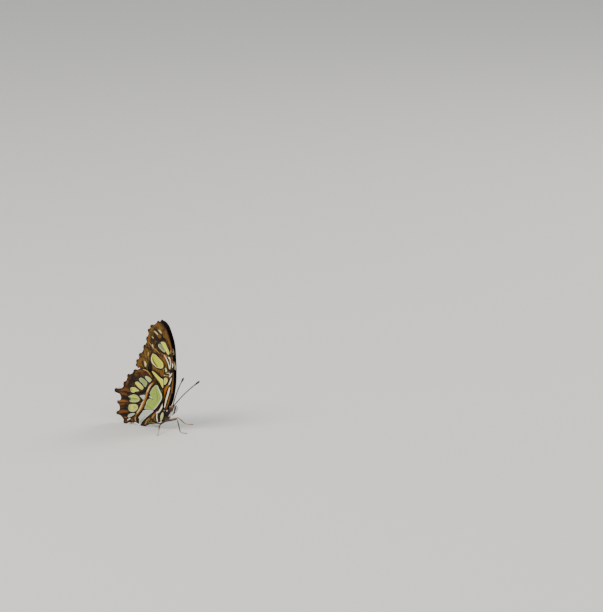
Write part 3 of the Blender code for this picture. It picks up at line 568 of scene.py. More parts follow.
        [(-13.8, 25.7, 0.44), (-13.3, 24.5, 0.6), (-13.5, 23.4, 0.4)],
    ],
    "cream": [
        [(-9.3, 29.1, 0.15), (-9.1, 27.3, 0.19), (-8.0, 25.6, 0.19), (-6.0, 24.0, 0.15)],
        [(-0.1, 31.3, 0.15), (0.8, 30.3, 0.27), (1.6, 29.0, 0.29), (2.3, 27.6, 0.27),
         (2.9, 25.9, 0.27), (3.5, 24.2, 0.34)],
        [(2.9, 30.6, 0.23), (3.4, 30.1, 0.42), (4.0, 29.0, 0.27), (4.3, 27.4, 0.21), (4.0, 25.9, 0.23),
         (3.5, 24.2, 0.23)],
        [(5.5, 27.2, 0.23), (5.6, 26.3, 0.27), (5.4, 25.0, 0.19)],
        [(5.0, 21.5, 0.19), (4.1, 20.4, 0.31), (3.3, 19.4, 0.27)],
        [(2.9, 21.4, 0.15), (3.6, 20.8, 0.19)],
        [(1.3, 21.2, 0.11), (2.5, 21.3, 0.15)],
        [(-0.3, 19.8, 0.19), (0.1, 19.7, 0.19)],
        [(4.7, 18.8, 0.19), (4.2, 17.6, 0.34), (3.5, 16.1, 0.34), (2.8, 14.9, 0.27)],
        [(3.2, 13.2, 0.23), (2.8, 11.9, 0.38), (2.2, 10.0, 0.42)],
        [(3.4, 13.1, 0.27), (2.5, 10.4, 0.42), (1.5, 7.3, 0.42), (0.8, 4.9, 0.38), (0.3, 2.6, 0.34),
         (-0.1, 1.3, 0.23)],
    ],
    "line": [
        [(-1.9, 37.7, 0.08), (-1.0, 36.2, 0.17), (0.0, 34.8, 0.17), (1.0, 33.5, 0.12)],
        [(-8.9, 29.4, 0.08), (-8.4, 27.6, 0.15), (-7.3, 26.0, 0.17), (-5.6, 24.6, 0.12)],
    ],
}

hindMarks = {
    "shade": [
        [(-20.3, 19.6, 0.29), (-22.4, 14.9, 0.86), (-24.5, 11.3, 0.57), (-26.6, 12.1, 0.4)],
        [(-21.1, 14.2, 0.86), (-19.7, 15.8, 0.57), (-17.0, 17.5, 0.29)],
        [(-33.5, 6.5, 0.69), (-31.8, 6.1, 0.4)],
        [(-28.8, 3.2, 0.69), (-26.1, 3.3, 0.98), (-24.7, 2.6, 0.46)],
        [(-28.2, -0.9, 0.52), (-26.5, -1.0, 0.75), (-25.5, -1.1, 0.29)],
        [(-28.6, -2.9, 0.57), (-26.9, -2.7, 0.75), (-25.8, -2.6, 0.34)],
        [(-30.7, -6.0, 0.72), (-26.9, -6.6, 1.15), (-26.3, -7.4, 0.57)],
        [(-14.3, 14.3, 0.4), (-16.4, 15.1, 0.23)],
        [(-24.1, -9.6, 0.69), (-21.1, -9.5, 0.86)],
        [(-5.4, -3.2, 0.23), (-6.2, -5.0, 0.57), (-6.9, -6.8, 0.46), (-5.5, -7.6, 0.27)],
        [(-16.4, -11.3, 0.38), (-13.8, -10.5, 0.27), (-9.8, -9.4, 0.19), (-7.4, -8.5, 0.15)],
        [(-11.6, -7.0, 0.19), (-10.3, -8.1, 0.57), (-9.6, -8.8, 0.31)],
    ],
    "rust": [
        [(-19.6, 19.4, 0.4), (-16.9, 20.5, 0.57), (-14.6, 20.3, 0.4)],
        [(-6.3, 16.5, 0.29), (-4.8, 14.7, 0.29), (-3.6, 12.9, 0.17)],
        [(-30.1, 7.2, 0.29), (-27.0, 8.4, 0.69), (-25.3, 7.8, 0.4), (-22.6, 7.4, 0.23)],
        [(-29.7, 5.6, 0.57), (-26.7, 5.4, 0.46)],
        [(-31.6, 0.8, 0.63), (-28.1, 1.6, 0.52), (-25.4, 1.5, 0.34)],
        [(-31.3, -1.1, 0.52), (-28.2, -0.2, 0.4)],
        [(-31.3, -5.3, 0.86), (-28.3, -4.6, 0.75), (-25.5, -4.3, 0.29)],
        [(-28.3, -8.2, 0.52), (-26.6, -8.1, 0.4)],
        [(-23.0, -8.9, 0.72), (-22.2, -10.0, 0.57)],
        [(-27.7, -10.4, 0.4), (-26.1, -10.4, 0.4)],
        [(-10.9, 20.8, 0.23), (-8.9, 18.9, 0.29), (-6.3, 16.5, 0.34), (-4.6, 14.7, 0.23)],
        [(-13.2, 2.3, 0.29), (-14.5, 0.4, 0.34), (-16.5, -2.6, 0.4)],
        [(-13.4, 2.0, 0.19), (-12.3, 4.7, 0.27), (-10.5, 8.6, 0.27), (-8.9, 11.4, 0.27)],
        [(-1.1, 4.1, 0.19), (-2.1, 1.8, 0.31), (-3.8, -0.4, 0.31), (-5.5, -2.1, 0.27)],
        [(-9.1, -5.8, 0.27), (-10.6, -6.8, 0.19)],
        [(-25.5, 13.4, 0.69), (-26.2, 11.0, 0.29)],
    ],
    "orange": [
        [(-7.1, 15.0, 0.23), (-9.3, 12.7, 0.63), (-10.7, 10.3, 0.75), (-11.8, 7.7, 0.86),
         (-12.8, 5.3, 0.8), (-14.0, 2.7, 0.69), (-15.5, 0.0, 0.63), (-17.2, -2.4, 0.57),
         (-18.6, -4.3, 0.46), (-20.6, -6.0, 0.46)],
        [(-8.2, 18.4, 0.17), (-6.3, 16.5, 0.23), (-4.9, 15.3, 0.14)],
        [(-0.2, 6.4, 0.23), (-0.4, 5.3, 0.27)],
        [(-2.8, -0.7, 0.27), (-5.0, -2.4, 0.38), (-6.6, -3.7, 0.5), (-7.8, -5.1, 0.38),
         (-8.6, -5.7, 0.19)],
        [(-32.6, 0.9, 0.29), (-30.2, 1.3, 0.34), (-27.1, 1.4, 0.23)],
        [(-24.7, 1.2, 0.11), (-20.0, 1.5, 0.14), (-16.6, 1.6, 0.2), (-14.5, 2.1, 0.23)],
        [(-27.7, -8.1, 0.23), (-27.0, -8.3, 0.23)],
    ],
    "black": [
        [(-12.2, 21.8, 0.11), (-9.8, 21.2, 0.4), (-7.9, 19.8, 0.29), (-5.6, 17.1, 0.23),
         (-3.6, 15.2, 0.23)],
        [(-6.3, 14.2, 0.34), (-8.5, 11.9, 0.52), (-9.9, 9.3, 0.57), (-10.9, 7.0, 0.63),
         (-11.8, 4.4, 0.63), (-12.7, 2.1, 0.57), (-13.8, -0.6, 0.52), (-15.1, -2.4, 0.52),
         (-16.9, -4.3, 0.52), (-18.4, -6.2, 0.57), (-18.9, -8.6, 0.57), (-19.1, -10.7, 0.57),
         (-17.5, -11.9, 0.52)],
        [(-8.1, 15.4, 0.23), (-10.3, 13.2, 0.29), (-11.7, 11.0, 0.29), (-12.8, 8.4, 0.17)],
        [(-17.9, 7.4, 0.4), (-15.1, 8.1, 0.75), (-12.8, 9.8, 0.75), (-11.5, 11.9, 0.4)],
        [(-24.6, 10.2, 0.23), (-22.2, 10.7, 0.29), (-19.5, 10.3, 0.34), (-16.5, 8.5, 0.29)],
        [(-21.1, 12.8, 0.29), (-20.4, 13.8, 0.29), (-17.7, 14.4, 0.29), (-14.7, 12.3, 0.34),
         (-13.4, 10.8, 0.4)],
        [(-18.0, 15.5, 0.23), (-16.6, 17.0, 0.29), (-14.3, 16.9, 0.23)],
        [(-13.6, 17.7, 0.23), (-13.0, 16.1, 0.26), (-11.0, 14.5, 0.29), (-9.0, 15.3, 0.23),
         (-7.9, 16.8, 0.29)],
        [(-25.6, 6.9, 0.17), (-22.6, 6.8, 0.29), (-19.9, 7.2, 0.4), (-17.2, 6.1, 0.46),
         (-15.9, 4.4, 0.52), (-15.7, 3.0, 0.46), (-17.9, 1.7, 0.29), (-21.3, 1.3, 0.23),
         (-24.7, 1.1, 0.17)],
        [(-20.0, 1.3, 0.17), (-17.9, 0.9, 0.4), (-17.1, -0.2, 0.46), (-17.4, -1.9, 0.46),
         (-18.6, -3.2, 0.4), (-20.7, -4.2, 0.29), (-24.2, -4.7, 0.23), (-26.2, -5.4, 0.29)],
        [(-26.7, 3.5, 0.29), (-25.0, 3.1, 0.4), (-24.7, 2.1, 0.23)],
        [(-27.9, -1.2, 0.23), (-26.1, -1.1, 0.4)],
        [(-28.2, -2.9, 0.23), (-26.2, -2.7, 0.4)],
        [(-27.0, -6.9, 0.4), (-24.9, -8.0, 0.29), (-22.2, -6.8, 0.29), (-20.4, -5.6, 0.29)],
        [(-28.4, -8.8, 0.29), (-26.7, -8.7, 0.23), (-23.6, -7.5, 0.17)],
        [(-28.7, -11.1, 0.34), (-25.8, -11.2, 0.34), (-23.2, -10.2, 0.23), (-21.4, -10.5, 0.23),
         (-19.5, -10.8, 0.29)],
        [(-3.6, 14.9, 0.23), (-2.6, 12.7, 0.26), (-1.1, 10.2, 0.29), (-0.3, 7.3, 0.4),
         (-1.3, 4.5, 0.52), (-3.4, 1.7, 0.57), (-5.6, -0.7, 0.57), (-8.6, -3.3, 0.52),
         (-11.6, -5.5, 0.57), (-14.7, -8.5, 0.57), (-17.2, -11.4, 0.52)],
        [(-1.1, 4.1, 0.38), (-2.5, 1.5, 0.42), (-4.0, -0.5, 0.31)],
        [(-0.6, 10.2, 0.34), (-0.9, 7.0, 0.34), (-1.1, 5.2, 0.34)],
        [(-3.8, 13.4, 0.19), (-2.8, 12.1, 0.23), (-2.1, 10.7, 0.15)],
        [(-2.3, 14.1, 0.15), (-1.2, 13.0, 0.15), (-0.6, 11.8, 0.15)],
        [(-0.6, 0.9, 0.27), (-1.7, -1.2, 0.34), (-2.6, -3.2, 0.38), (-3.1, -5.3, 0.34),
         (-3.5, -7.7, 0.34)],
        [(-3.6, -2.4, 0.23), (-3.5, -3.5, 0.19)],
        [(-17.8, -11.7, 0.34), (-15.3, -11.5, 0.31), (-13.1, -10.4, 0.15)],
        [(-9.0, -5.4, 0.11), (-7.5, -6.0, 0.15), (-5.7, -4.0, 0.11)],
        [(-8.2, -7.4, 0.15), (-6.1, -7.5, 0.15), (-4.2, -8.0, 0.23)],
        [(0.9, -0.5, 0.27), (1.3, -2.5, 0.27), (0.8, -4.6, 0.27), (-0.4, -6.3, 0.19)],
    ],
    "patch": [
        (0.6, [(-13.1, 17.5), (-12.1, 18.0), (-10.3, 17.6), (-8.7, 16.7), (-8.9, 15.6), (-10.2, 14.7),
         (-11.3, 15.4), (-12.4, 16.3)]),
        (0.28, [(-17.3, 15.5), (-16.3, 16.5), (-14.6, 16.3), (-13.3, 15.8), (-12.0, 14.9),
         (-11.7, 13.8), (-12.3, 12.3), (-13.1, 11.5), (-13.9, 12.1), (-14.7, 13.1), (-16.0, 14.1),
         (-17.0, 14.8)]),
        (0.8, [(-20.3, 12.9), (-19.4, 13.7), (-18.1, 13.9), (-16.4, 12.9), (-14.7, 11.5),
         (-14.4, 10.6), (-15.4, 9.8), (-16.5, 9.9), (-17.8, 10.8), (-19.1, 11.7)]),
        (0.75, [(-23.6, 9.4), (-22.5, 10.1), (-20.8, 10.4), (-19.5, 10.0), (-18.2, 9.3), (-17.4, 8.7),
         (-18.2, 8.4), (-19.9, 8.0), (-21.2, 7.3), (-22.6, 7.4), (-23.4, 8.1)]),
        (0.5, [(-25.3, 4.3), (-23.3, 5.4), (-21.3, 6.1), (-19.2, 5.9), (-17.9, 5.1), (-17.2, 3.9),
         (-17.7, 2.8), (-19.3, 2.0), (-21.7, 1.6), (-23.7, 1.6), (-24.3, 2.3), (-23.2, 3.2),
         (-24.0, 4.0)]),
        (0.68, [(-24.8, -0.5), (-22.7, 0.3), (-20.0, 0.6), (-18.6, -0.2), (-18.6, -1.5), (-19.7, -3.0),
         (-21.4, -3.9), (-23.8, -4.0), (-25.1, -3.3), (-25.5, -2.2)]),
        (0.1, [(-25.5, -6.5), (-23.5, -5.2), (-21.2, -4.7), (-20.8, -5.2), (-22.9, -6.7),
         (-24.9, -7.7), (-25.9, -7.6)]),
        (0.0, [(-17.0, 5.9), (-15.2, 6.5), (-13.5, 6.8), (-13.7, 5.2), (-14.5, 4.1), (-15.5, 4.7),
         (-16.2, 5.4)]),
        (0.45, [(-5.5, 13.7), (-4.1, 13.3), (-3.5, 12.0), (-2.4, 10.5), (-1.5, 8.8), (-1.3, 6.9),
         (-2.2, 4.9), (-3.8, 2.9), (-5.5, 0.9), (-7.1, -0.7), (-9.5, -0.9), (-13.4, -1.2),
         (-13.0, 0.8), (-12.4, 1.5), (-12.5, 2.6), (-11.2, 4.5), (-10.1, 5.2), (-9.4, 6.6),
         (-9.7, 8.5), (-9.0, 10.0), (-7.6, 11.9)]),
        (0.62, [(-0.8, -1.5), (0.2, -1.5), (0.4, -2.8), (0.4, -4.5), (-0.8, -6.0), (-1.7, -7.1),
         (-2.3, -7.2), (-2.0, -5.2), (-1.9, -3.6), (-1.3, -2.3)]),
        (0.0, [(-14.4, -2.3), (-12.6, -1.6), (-9.5, -1.0), (-7.1, -0.9), (-7.3, -1.9), (-9.7, -3.8),
         (-12.3, -5.9), (-14.6, -7.9), (-16.4, -9.7), (-17.6, -11.3), (-18.5, -11.2), (-17.9, -9.3),
         (-17.4, -7.6), (-18.1, -6.9), (-16.5, -4.8), (-15.1, -3.3)]),
    ],
    "olive": [
        [(-5.7, 11.0, 0.1), (-4.8, 8.9, 0.18), (-4.5, 6.2, 0.18), (-5.3, 3.9, 0.1)],
        [(-17.2, -9.5, 0.2), (-15.3, -7.5, 0.2), (-13.0, -5.4, 0.1)],
        [(-21.0, -1.2, 0.23), (-20.5, -1.5, 0.23)],
        [(-22.7, 3.4, 0.17), (-18.6, 4.0, 0.29)],
        [(-23.2, 9.3, 0.15), (-23.0, 8.4, 0.27)],
        [(-24.9, 4.1, 0.2), (-23.5, 3.2, 0.3), (-24.0, 2.1, 0.17)],
        [(-25.0, -0.9, 0.17), (-25.0, -2.2, 0.34), (-24.6, -3.3, 0.17)],
        [(-11.0, -7.6, 0.23), (-10.7, -8.8, 0.46), (-9.5, -8.6, 0.38), (-8.6, -7.1, 0.23)],
        [(-6.4, -4.7, 0.27), (-6.4, -6.4, 0.38), (-5.4, -7.0, 0.23)],
    ],
    "yellow": [
        [(-19.4, 13.1, 0.29), (-17.8, 12.4, 0.57), (-16.4, 11.4, 0.4)],
        [(-21.5, 9.0, 0.4), (-20.5, 9.0, 0.46)],
        [(-23.3, 4.8, 0.23), (-20.6, 4.8, 0.34), (-18.6, 4.3, 0.23)],
        [(-22.7, -0.7, 0.4), (-22.4, -2.1, 0.57)],
    ],
    "tan": [
        [(-14.2, 21.6, 0.23), (-11.5, 21.0, 0.26), (-9.5, 19.3, 0.23), (-7.9, 17.9, 0.17)],
        [(-8.2, 14.4, 0.2), (-9.9, 12.3, 0.42), (-11.3, 10.0, 0.4), (-12.5, 7.5, 0.25),
         (-13.4, 5.2, 0.22), (-14.7, 2.6, 0.4), (-16.1, -0.2, 0.42), (-17.6, -2.6, 0.36),
         (-19.0, -4.2, 0.3)],
        [(-6.3, -3.5, 0.19), (-7.4, -5.0, 0.23), (-7.9, -5.8, 0.15)],
        [(-10.5, -6.2, 0.11), (-12.1, -7.8, 0.23), (-13.9, -10.4, 0.23)],
        [(-9.6, -6.1, 0.1), (-10.5, -7.4, 0.13)],
        [(-20.5, -7.1, 0.34), (-20.4, -9.4, 0.34)],
        [(-8.9, -8.7, 0.15), (-6.9, -8.2, 0.15)],
    ],
    "buff": [
        [(-9.2, 13.3, 0.17), (-10.6, 11.3, 0.29), (-11.6, 9.3, 0.23)],
        [(-14.5, 3.2, 0.17), (-15.3, 1.8, 0.29), (-16.4, -0.3, 0.36), (-17.9, -2.9, 0.34),
         (-19.0, -4.2, 0.23)],
    ],
    "cream": [
        [(-3.3, 13.7, 0.13), (-2.2, 12.6, 0.19), (-1.4, 11.3, 0.19), (-1.0, 10.5, 0.1)],
        [(0.1, 4.8, 0.2), (-0.5, 3.3, 0.38), (-1.2, 1.7, 0.42), (-2.0, 0.2, 0.42), (-3.0, -1.2, 0.36),
         (-4.6, -2.0, 0.28)],
        [(-26.0, -9.4, 0.23), (-24.3, -8.3, 0.29)],
        [(-4.1, -2.3, 0.19), (-4.5, -4.0, 0.31), (-4.4, -5.9, 0.31), (-4.4, -7.4, 0.19)],
        [(-10.3, 6.4, 0.17), (-9.1, 5.9, 0.23), (-8.2, 5.6, 0.17)],
        [(-4.5, 13.0, 0.11), (-3.0, 10.3, 0.17), (-1.6, 7.4, 0.2), (-2.2, 5.2, 0.17),
         (-4.3, 2.2, 0.17), (-6.4, -0.4, 0.14)],
    ],
    "line": [
        [(-11.0, 5.3, 0.2), (-9.4, 5.5, 0.23), (-7.7, 5.1, 0.2)],
        [(-12.6, 1.4, 0.11), (-10.3, 0.5, 0.14), (-7.8, -0.6, 0.11)],
        [(-13.7, -1.5, 0.14), (-10.9, -1.0, 0.17), (-6.9, -0.8, 0.11)],
    ],
}

# Upper side: malachite green windows on a black-brown ground, and cream spots at the front edge.
upperMarks = {
    "forewing": {
        "green": [
            [(-0.6, 8.0), (0.8, 14.0), (-0.6, 20.0), (-4.6, 20.6), (-9.6, 19.4), (-11.6, 17.2),
             (-6.0, 12.4)],
            [(-2.0, 23.4), (-9.4, 22.6), (-9.6, 29.0), (-6.6, 31.4), (-1.4, 28.0)],
            [(2.9, 33.6), (0.2, 39.6), (-4.8, 37.8), (-0.8, 32.6)]],
        "cream": [
            [(3.6, 34.8, 0.3), (3.9, 33.2, 0.5), (4.1, 31.6, 0.4)],
            [(4.5, 27.6, 0.4), (4.8, 25.6, 0.65), (5.0, 23.6, 0.55)]]},
    "hindwing": {
        "green": [
            [(-2.4, 8.6), (-6.2, 13.4), (-10.6, 14.0), (-13.6, 4.0), (-18.6, -7.6), (-14.2, -9.6),
             (-6.0, -3.6)],
            [(-12.4, 17.4), (-19.8, 13.6), (-18.8, 11.6), (-11.6, 14.8)],
            [(-24.6, 9.6), (-25.0, 7.6), (-18.6, 8.0), (-19.4, 10.0)],
            [(-26.0, 4.8), (-25.6, 2.6), (-18.0, 3.4), (-18.0, 5.6)],
            [(-26.0, -2.2), (-25.6, -4.0), (-19.4, -2.2), (-19.2, 0.0)]],
        "cream": [[(-8.4, 16.2, 0.15), (-6.8, 14.6, 0.2)]]},
}


def foreHalfGap(x, z):
    sheet = wingSheet
    root = sheet["rootSpread"] * np.exp(-(x * x + z * z) / sheet["rootReach"] ** 2)
    tip = sheet["tipSpread"] * smoothStep((z - sheet["tipStart"]) / sheet["tipReach"])
    return sheet["halfGap"] + sheet["forward"] * x + sheet["upward"] * z + root + tip


def hindHalfGap(x, z):
    sheet = wingSheet
    (middleX, middleZ), (reachX, reachZ) = sheet["swellPlace"], sheet["swellReach"]
    swell = sheet["swell"] * np.exp(-((x - middleX) / reachX) ** 2 - ((z - middleZ) / reachZ) ** 2)
    low = smoothStep((-z - sheet["tuckBelow"]) / sheet["tuckDepth"])
    tuck = sheet["tuck"] * low * smoothStep((x - sheet["tuckStart"]) / sheet["tuckReach"])
    return foreHalfGap(x, z) + sheet["layer"] + swell - tuck


def scalloped(teeth, depths, steps=16):
    # margin from tooth to tooth that dips in between them
    t = (np.arange(steps) / steps)[:, None]
    runs = []
    for start, end, depth in zip(np.array(teeth[:-1]), np.array(teeth[1:]), depths):
        step = end - start
        inward = unit(np.array([-step[1], step[0]]))
        runs.append(start + step * t + inward * depth * np.sin(math.pi * t) ** 1.5)
    return np.vstack(runs + [teeth[-1:]])


def foreOutline():
    return np.vstack([curveThrough(foreWing["costa"], 10)[:-1],
                      scalloped(foreWing["teeth"], foreWing["scallop"])[:-1],
                      curveThrough(foreWing["inner"], 10)])


def hindOutline():
    return np.vstack([curveThrough(hindWing["costa"], 8)[:-1],
                      scalloped(hindWing["teeth"], hindWing["scallop"])[:-1],
                      curveThrough(hindWing["tail"], 6)[:-1], curveThrough(hindWing["trailing"], 6),
                      hindWing["lobeFlat"], curveThrough(hindWing["lower"], 4), hindWing["restFlat"],
                      curveThrough(hindWing["front"], 6)])


def evenRun(run, pitch, closed=False):
    # the same run with evenly spaced points
    reach = np.concatenate([[0.0], np.cumsum(np.linalg.norm(np.diff(run, axis=0), axis=1))])
    marks = np.linspace(0.0, reach[-1], max(int(reach[-1] / pitch), 3), endpoint=not closed)
    return np.column_stack([np.interp(marks, reach, run[:, axis]) for axis in (0, 1)])


def evenLoop(loop, pitch):
    # evenly spaced points and no sharp corners
    even = evenRun(np.vstack([loop, loop[:1]]), pitch, closed=True)
    for _ in range(2):
        even = even * 0.5 + (np.roll(even, 1, axis=0) + np.roll(even, -1, axis=0)) * 0.25
    return even


def wingNet(outline, veins):
    # flat net of triangles inside the outline, with rows of points along each vein; points that
    # lie nearer than a share of the pitch to the outline or to a vein are left out
    pitch = wingSheet["pitch"]
    outline = evenLoop(outline, pitch * 0.8)
    veinRuns = [np.pad(evenRun(curveThrough(points, 12), pitch), ((0, 0), (0, 1)))
                for points in veins.values()]
    low, high = outline.min(0), outline.max(0)
    columns = np.arange(low[0], high[0], pitch)
    rows = np.arange(low[1], high[1], pitch * 0.866)                       # even-sided triangles
    x, z = np.meshgrid(columns, rows)
    x = x + (np.arange(len(rows)) % 2)[:, None] * pitch / 2
    grid = np.column_stack([x.ravel(), z.ravel()])
    grid = grid[loopDistance(grid, outline) < -pitch * 0.5]
    near = np.min([strokeDistance(grid, run) for run in veinRuns], axis=0)
    grid = grid[near > pitch * 0.75]
    groups, edges, first = [outline], [], len(outline)
    for run in veinRuns:
        flat = run[:, :2]
        flat = flat[loopDistance(flat, outline) < -pitch * 0.4]
        step = np.gradient(flat, axis=0)
        normal = unit(np.column_stack([-step[:, 1], step[:, 0]]))
        for offset in wingSheet["veinRows"]:
            moved = flat + normal * offset
            groups.append(moved[loopDistance(moved, outline) < -pitch * 0.3])
            if offset == 0.0:
                edges += [(first + i, first + i + 1) for i in range(len(groups[-1]) - 1)]
            first += len(groups[-1])
    points = np.vstack(groups + [grid])
    places, _, triangles = delaunay_2d_cdt([Vector(point) for point in points.tolist()], edges,
                                           [list(range(len(outline)))], 1, 0.02)[:3]
    used = sorted({i for triangle in triangles for i in triangle})
    order = {old: new for new, old in enumerate(used)}
    return {"outline": outline, "veins": veinRuns, "flat": np.array([places[i] for i in used]),
            "triangles": [[order[i] for i in triangle] for triangle in triangles]}


def nearestStroke(flat, strokes):
    return np.min([strokeDistance(flat, curveThrough(stroke, 5)) for stroke in strokes], axis=0)


def loopDistances(flat, loops):
    return np.array([loopDistance(flat, curveThrough(loop, 5, closed=True)) for loop in loops])


def wingFields(net, marks, upper):
    # signed distance in mm to each layer of marks, the tint of the nearest patch, the distance
    # from the margin and the veins, and two coordinates for streaks that run out from the root
    flat = net["flat"]
    x, z = flat.T
    fields = {layer: nearestStroke(flat, strokes) for layer, strokes in marks.items() if layer != "patch"}
    tints, loops = zip(*marks["patch"])
    patches = loopDistances(flat, loops)
    fields["patch"] = patches.min(0)
    fields["tint"] = np.array(tints)[patches.argmin(0)]
    fields["window"] = loopDistances(flat, upper["green"]).min(0)
    fields["spot"] = nearestStroke(flat, upper["cream"])
    fields["margin"] = -loopDistance(flat, net["outline"])
    fields["vein"] = np.min([strokeDistance(flat, run) for run in net["veins"]], axis=0)
    fields["along"] = np.hypot(x, z + 3.0)
    fields["turn"] = np.degrees(np.arctan2(-x, z + 3.0))
    return fields


def buildWing(kind, name, net, halfGap, fields, materials):
    sheet, side, flat = wingSheet, sides[name], net["flat"]
    x, z = flat.T
    margin, vein = fields["margin"], fields["vein"]
    room = smoothStep(margin / sheet["rimWidth"])
    half = (sheet["rimThickness"] + (sheet["thickness"] - sheet["rimThickness"]) * room) / 2
    rise = sheet["veinRise"] * np.exp(-(vein / sheet["veinSpread"]) ** 2) * (0.3 + 0.7 * room)
    sink = sheet["pleat"] * (1.0 - np.exp(-(vein / sheet["pleatWidth"]) ** 2)) * smoothStep(margin / 2.5)
    middle = halfGap(x, z) - sink
    outer = np.column_stack([x, side * (middle + half + rise), z])
    inner = np.column_stack([x, side * (middle - half - rise * 0.5), z])
    count = len(flat)
    rim = {}
    faces = [face if side < 0 else face[::-1] for face in net["triangles"]]
    for a, b, c in net["triangles"]:
        for edge in ((a, b), (b, c), (c, a)):
            if edge[::-1] in rim:
                del rim[edge[::-1]]
            else:
                rim[edge] = True
    upperFaces = [[i + count for i in reversed(face)] for face in faces]
    rimFaces = [[b, a, a + count, b + count] if side < 0 else [a, b, b + count, a + count] for a, b in rim]
    wing = addPiece(kind + "Scales_" + name, (np.vstack([outer, inner]), faces + upperFaces + rimFaces),
                    materials, "wing", [kind + "_" + name], 60.0,
                    **{field: np.tile(values, 2) for field, values in fields.items()})
    slots = np.zeros(len(wing.data.polygons), np.int32)
    slots[len(faces):len(faces) * 2] = 1
    wing.data.polygons.foreach_set("material_index", slots)
    mapped = (flat - flat.min(0)) / np.ptp(flat, axis=0).max() * 0.48       # the two faces side by side
    setBakeMap(wing, np.vstack([mapped + (0.01, 0.01), mapped + (0.51, 0.01)])[cornerPoints(wing)])


underside = {
    # ground, its light and dark streaks, the line along the veins and the dark outer edge
    "forewing": {"ground": "#63450F", "light": "#7E6022", "dark": "#2C1A08", "vein": "#765418",
                 "edge": "#180C05", "rust": "#724A0D", "orange": "#9A580A"},
    "hindwing": {"ground": "#452A0C", "light": "#5C3A12", "dark": "#221206", "vein": "#683C14",
                 "edge": "#150A05", "rust": "#6A3C10", "orange": "#8C5818"},
    "shade": "#1A0E07", "black": "#060303", "olive": "#525F2A", "yellow": "#E6E000",
    "tan": "#BA8C48", "buff": "#DCCB92", "cream": "#FFF6D6", "line": "#120A05",
    # tints of the patches, from grey-white over sage, pale green and olive to yellow
    "tints": [(0.0, "#BAC2B4"), (0.25, "#8A9A54"), (0.45, "#94AA48"), (0.62, "#BAC468"),
              (0.78, "#C0C212"), (1.0, "#DCD800")],
    "patchRim": "#E6E8DA",
    "edgeWear": 0.2,          # mm that single scales stray over a mark's edge
    "outline": 0.42,          # mm of black line round each patch
    # lines along veins and margin: field, colour, mm over which it fades, mm that it reaches
    "lines": [("vein", "dark", 0.3, 0.4), ("vein", "vein", 0.14, 0.06), ("margin", "edge", 0.3, 0.55)],
    # mm over which each layer's edge fades
    "soft": {"shade": 0.5, "rust": 0.3, "orange": 0.2, "black": 0.14, "patch": 0.12, "olive": 0.25,
             "yellow": 0.28, "tan": 0.18, "buff": 0.2, "cream": 0.14, "line": 0.1},
    # noise across and along the rays from the root, and the part of it that shows
    "streaks": {"light": ((1.5, 0.12, 1.0), 0.35, 0.65), "dark": ((0.4, 0.13, 1.0), 0.4, 0.6)},
}
upperside = {"ground": "#0E0705", "light": "#1C100A", "green": "#A9CF6B", "greenPale": "#C8DC96",
             "cream": "#FFF2B4"}
scaleRows = 5.0               # to each mm, so 0.2 mm apart, twice as coarse as real ones


def paintLayer(tree, below, field, colour, soft, wear, level=0.0):
    # paints a colour where the field, in mm, is under the level
    distance = addNode(tree, "Attribute", out="Fac", attribute_name=field)
    worn = addNode(tree, "Math", {0: distance, 1: wear}, operation="ADD")
    mask = addNode(tree, "MapRange", {"Value": worn, "From Min": level + soft, "From Max": level - soft})
    return addNode(tree, "Mix", {0: mask, 6: below, 7: colour}, 2, data_type="RGBA")


def strayScales(tree, place):
    # a fine noise, and the mm by which it moves the edge of a mark
    fine = addNode(tree, "TexNoise", {"Vector": place, "Scale": scaleRows, "Detail": 2.0})
    stray = underside["edgeWear"]
    return fine, addNode(tree, "Math", {0: fine, 1: stray * 2, 2: -stray}, operation="MULTIPLY_ADD")


def rowRelief(tree, place, colour):
    rows = addNode(tree, "TexVoronoi", {"Vector": place, "Scale": scaleRows}, "Distance")
    joinSurface(tree, colour, rows, 0.35, 0.03)


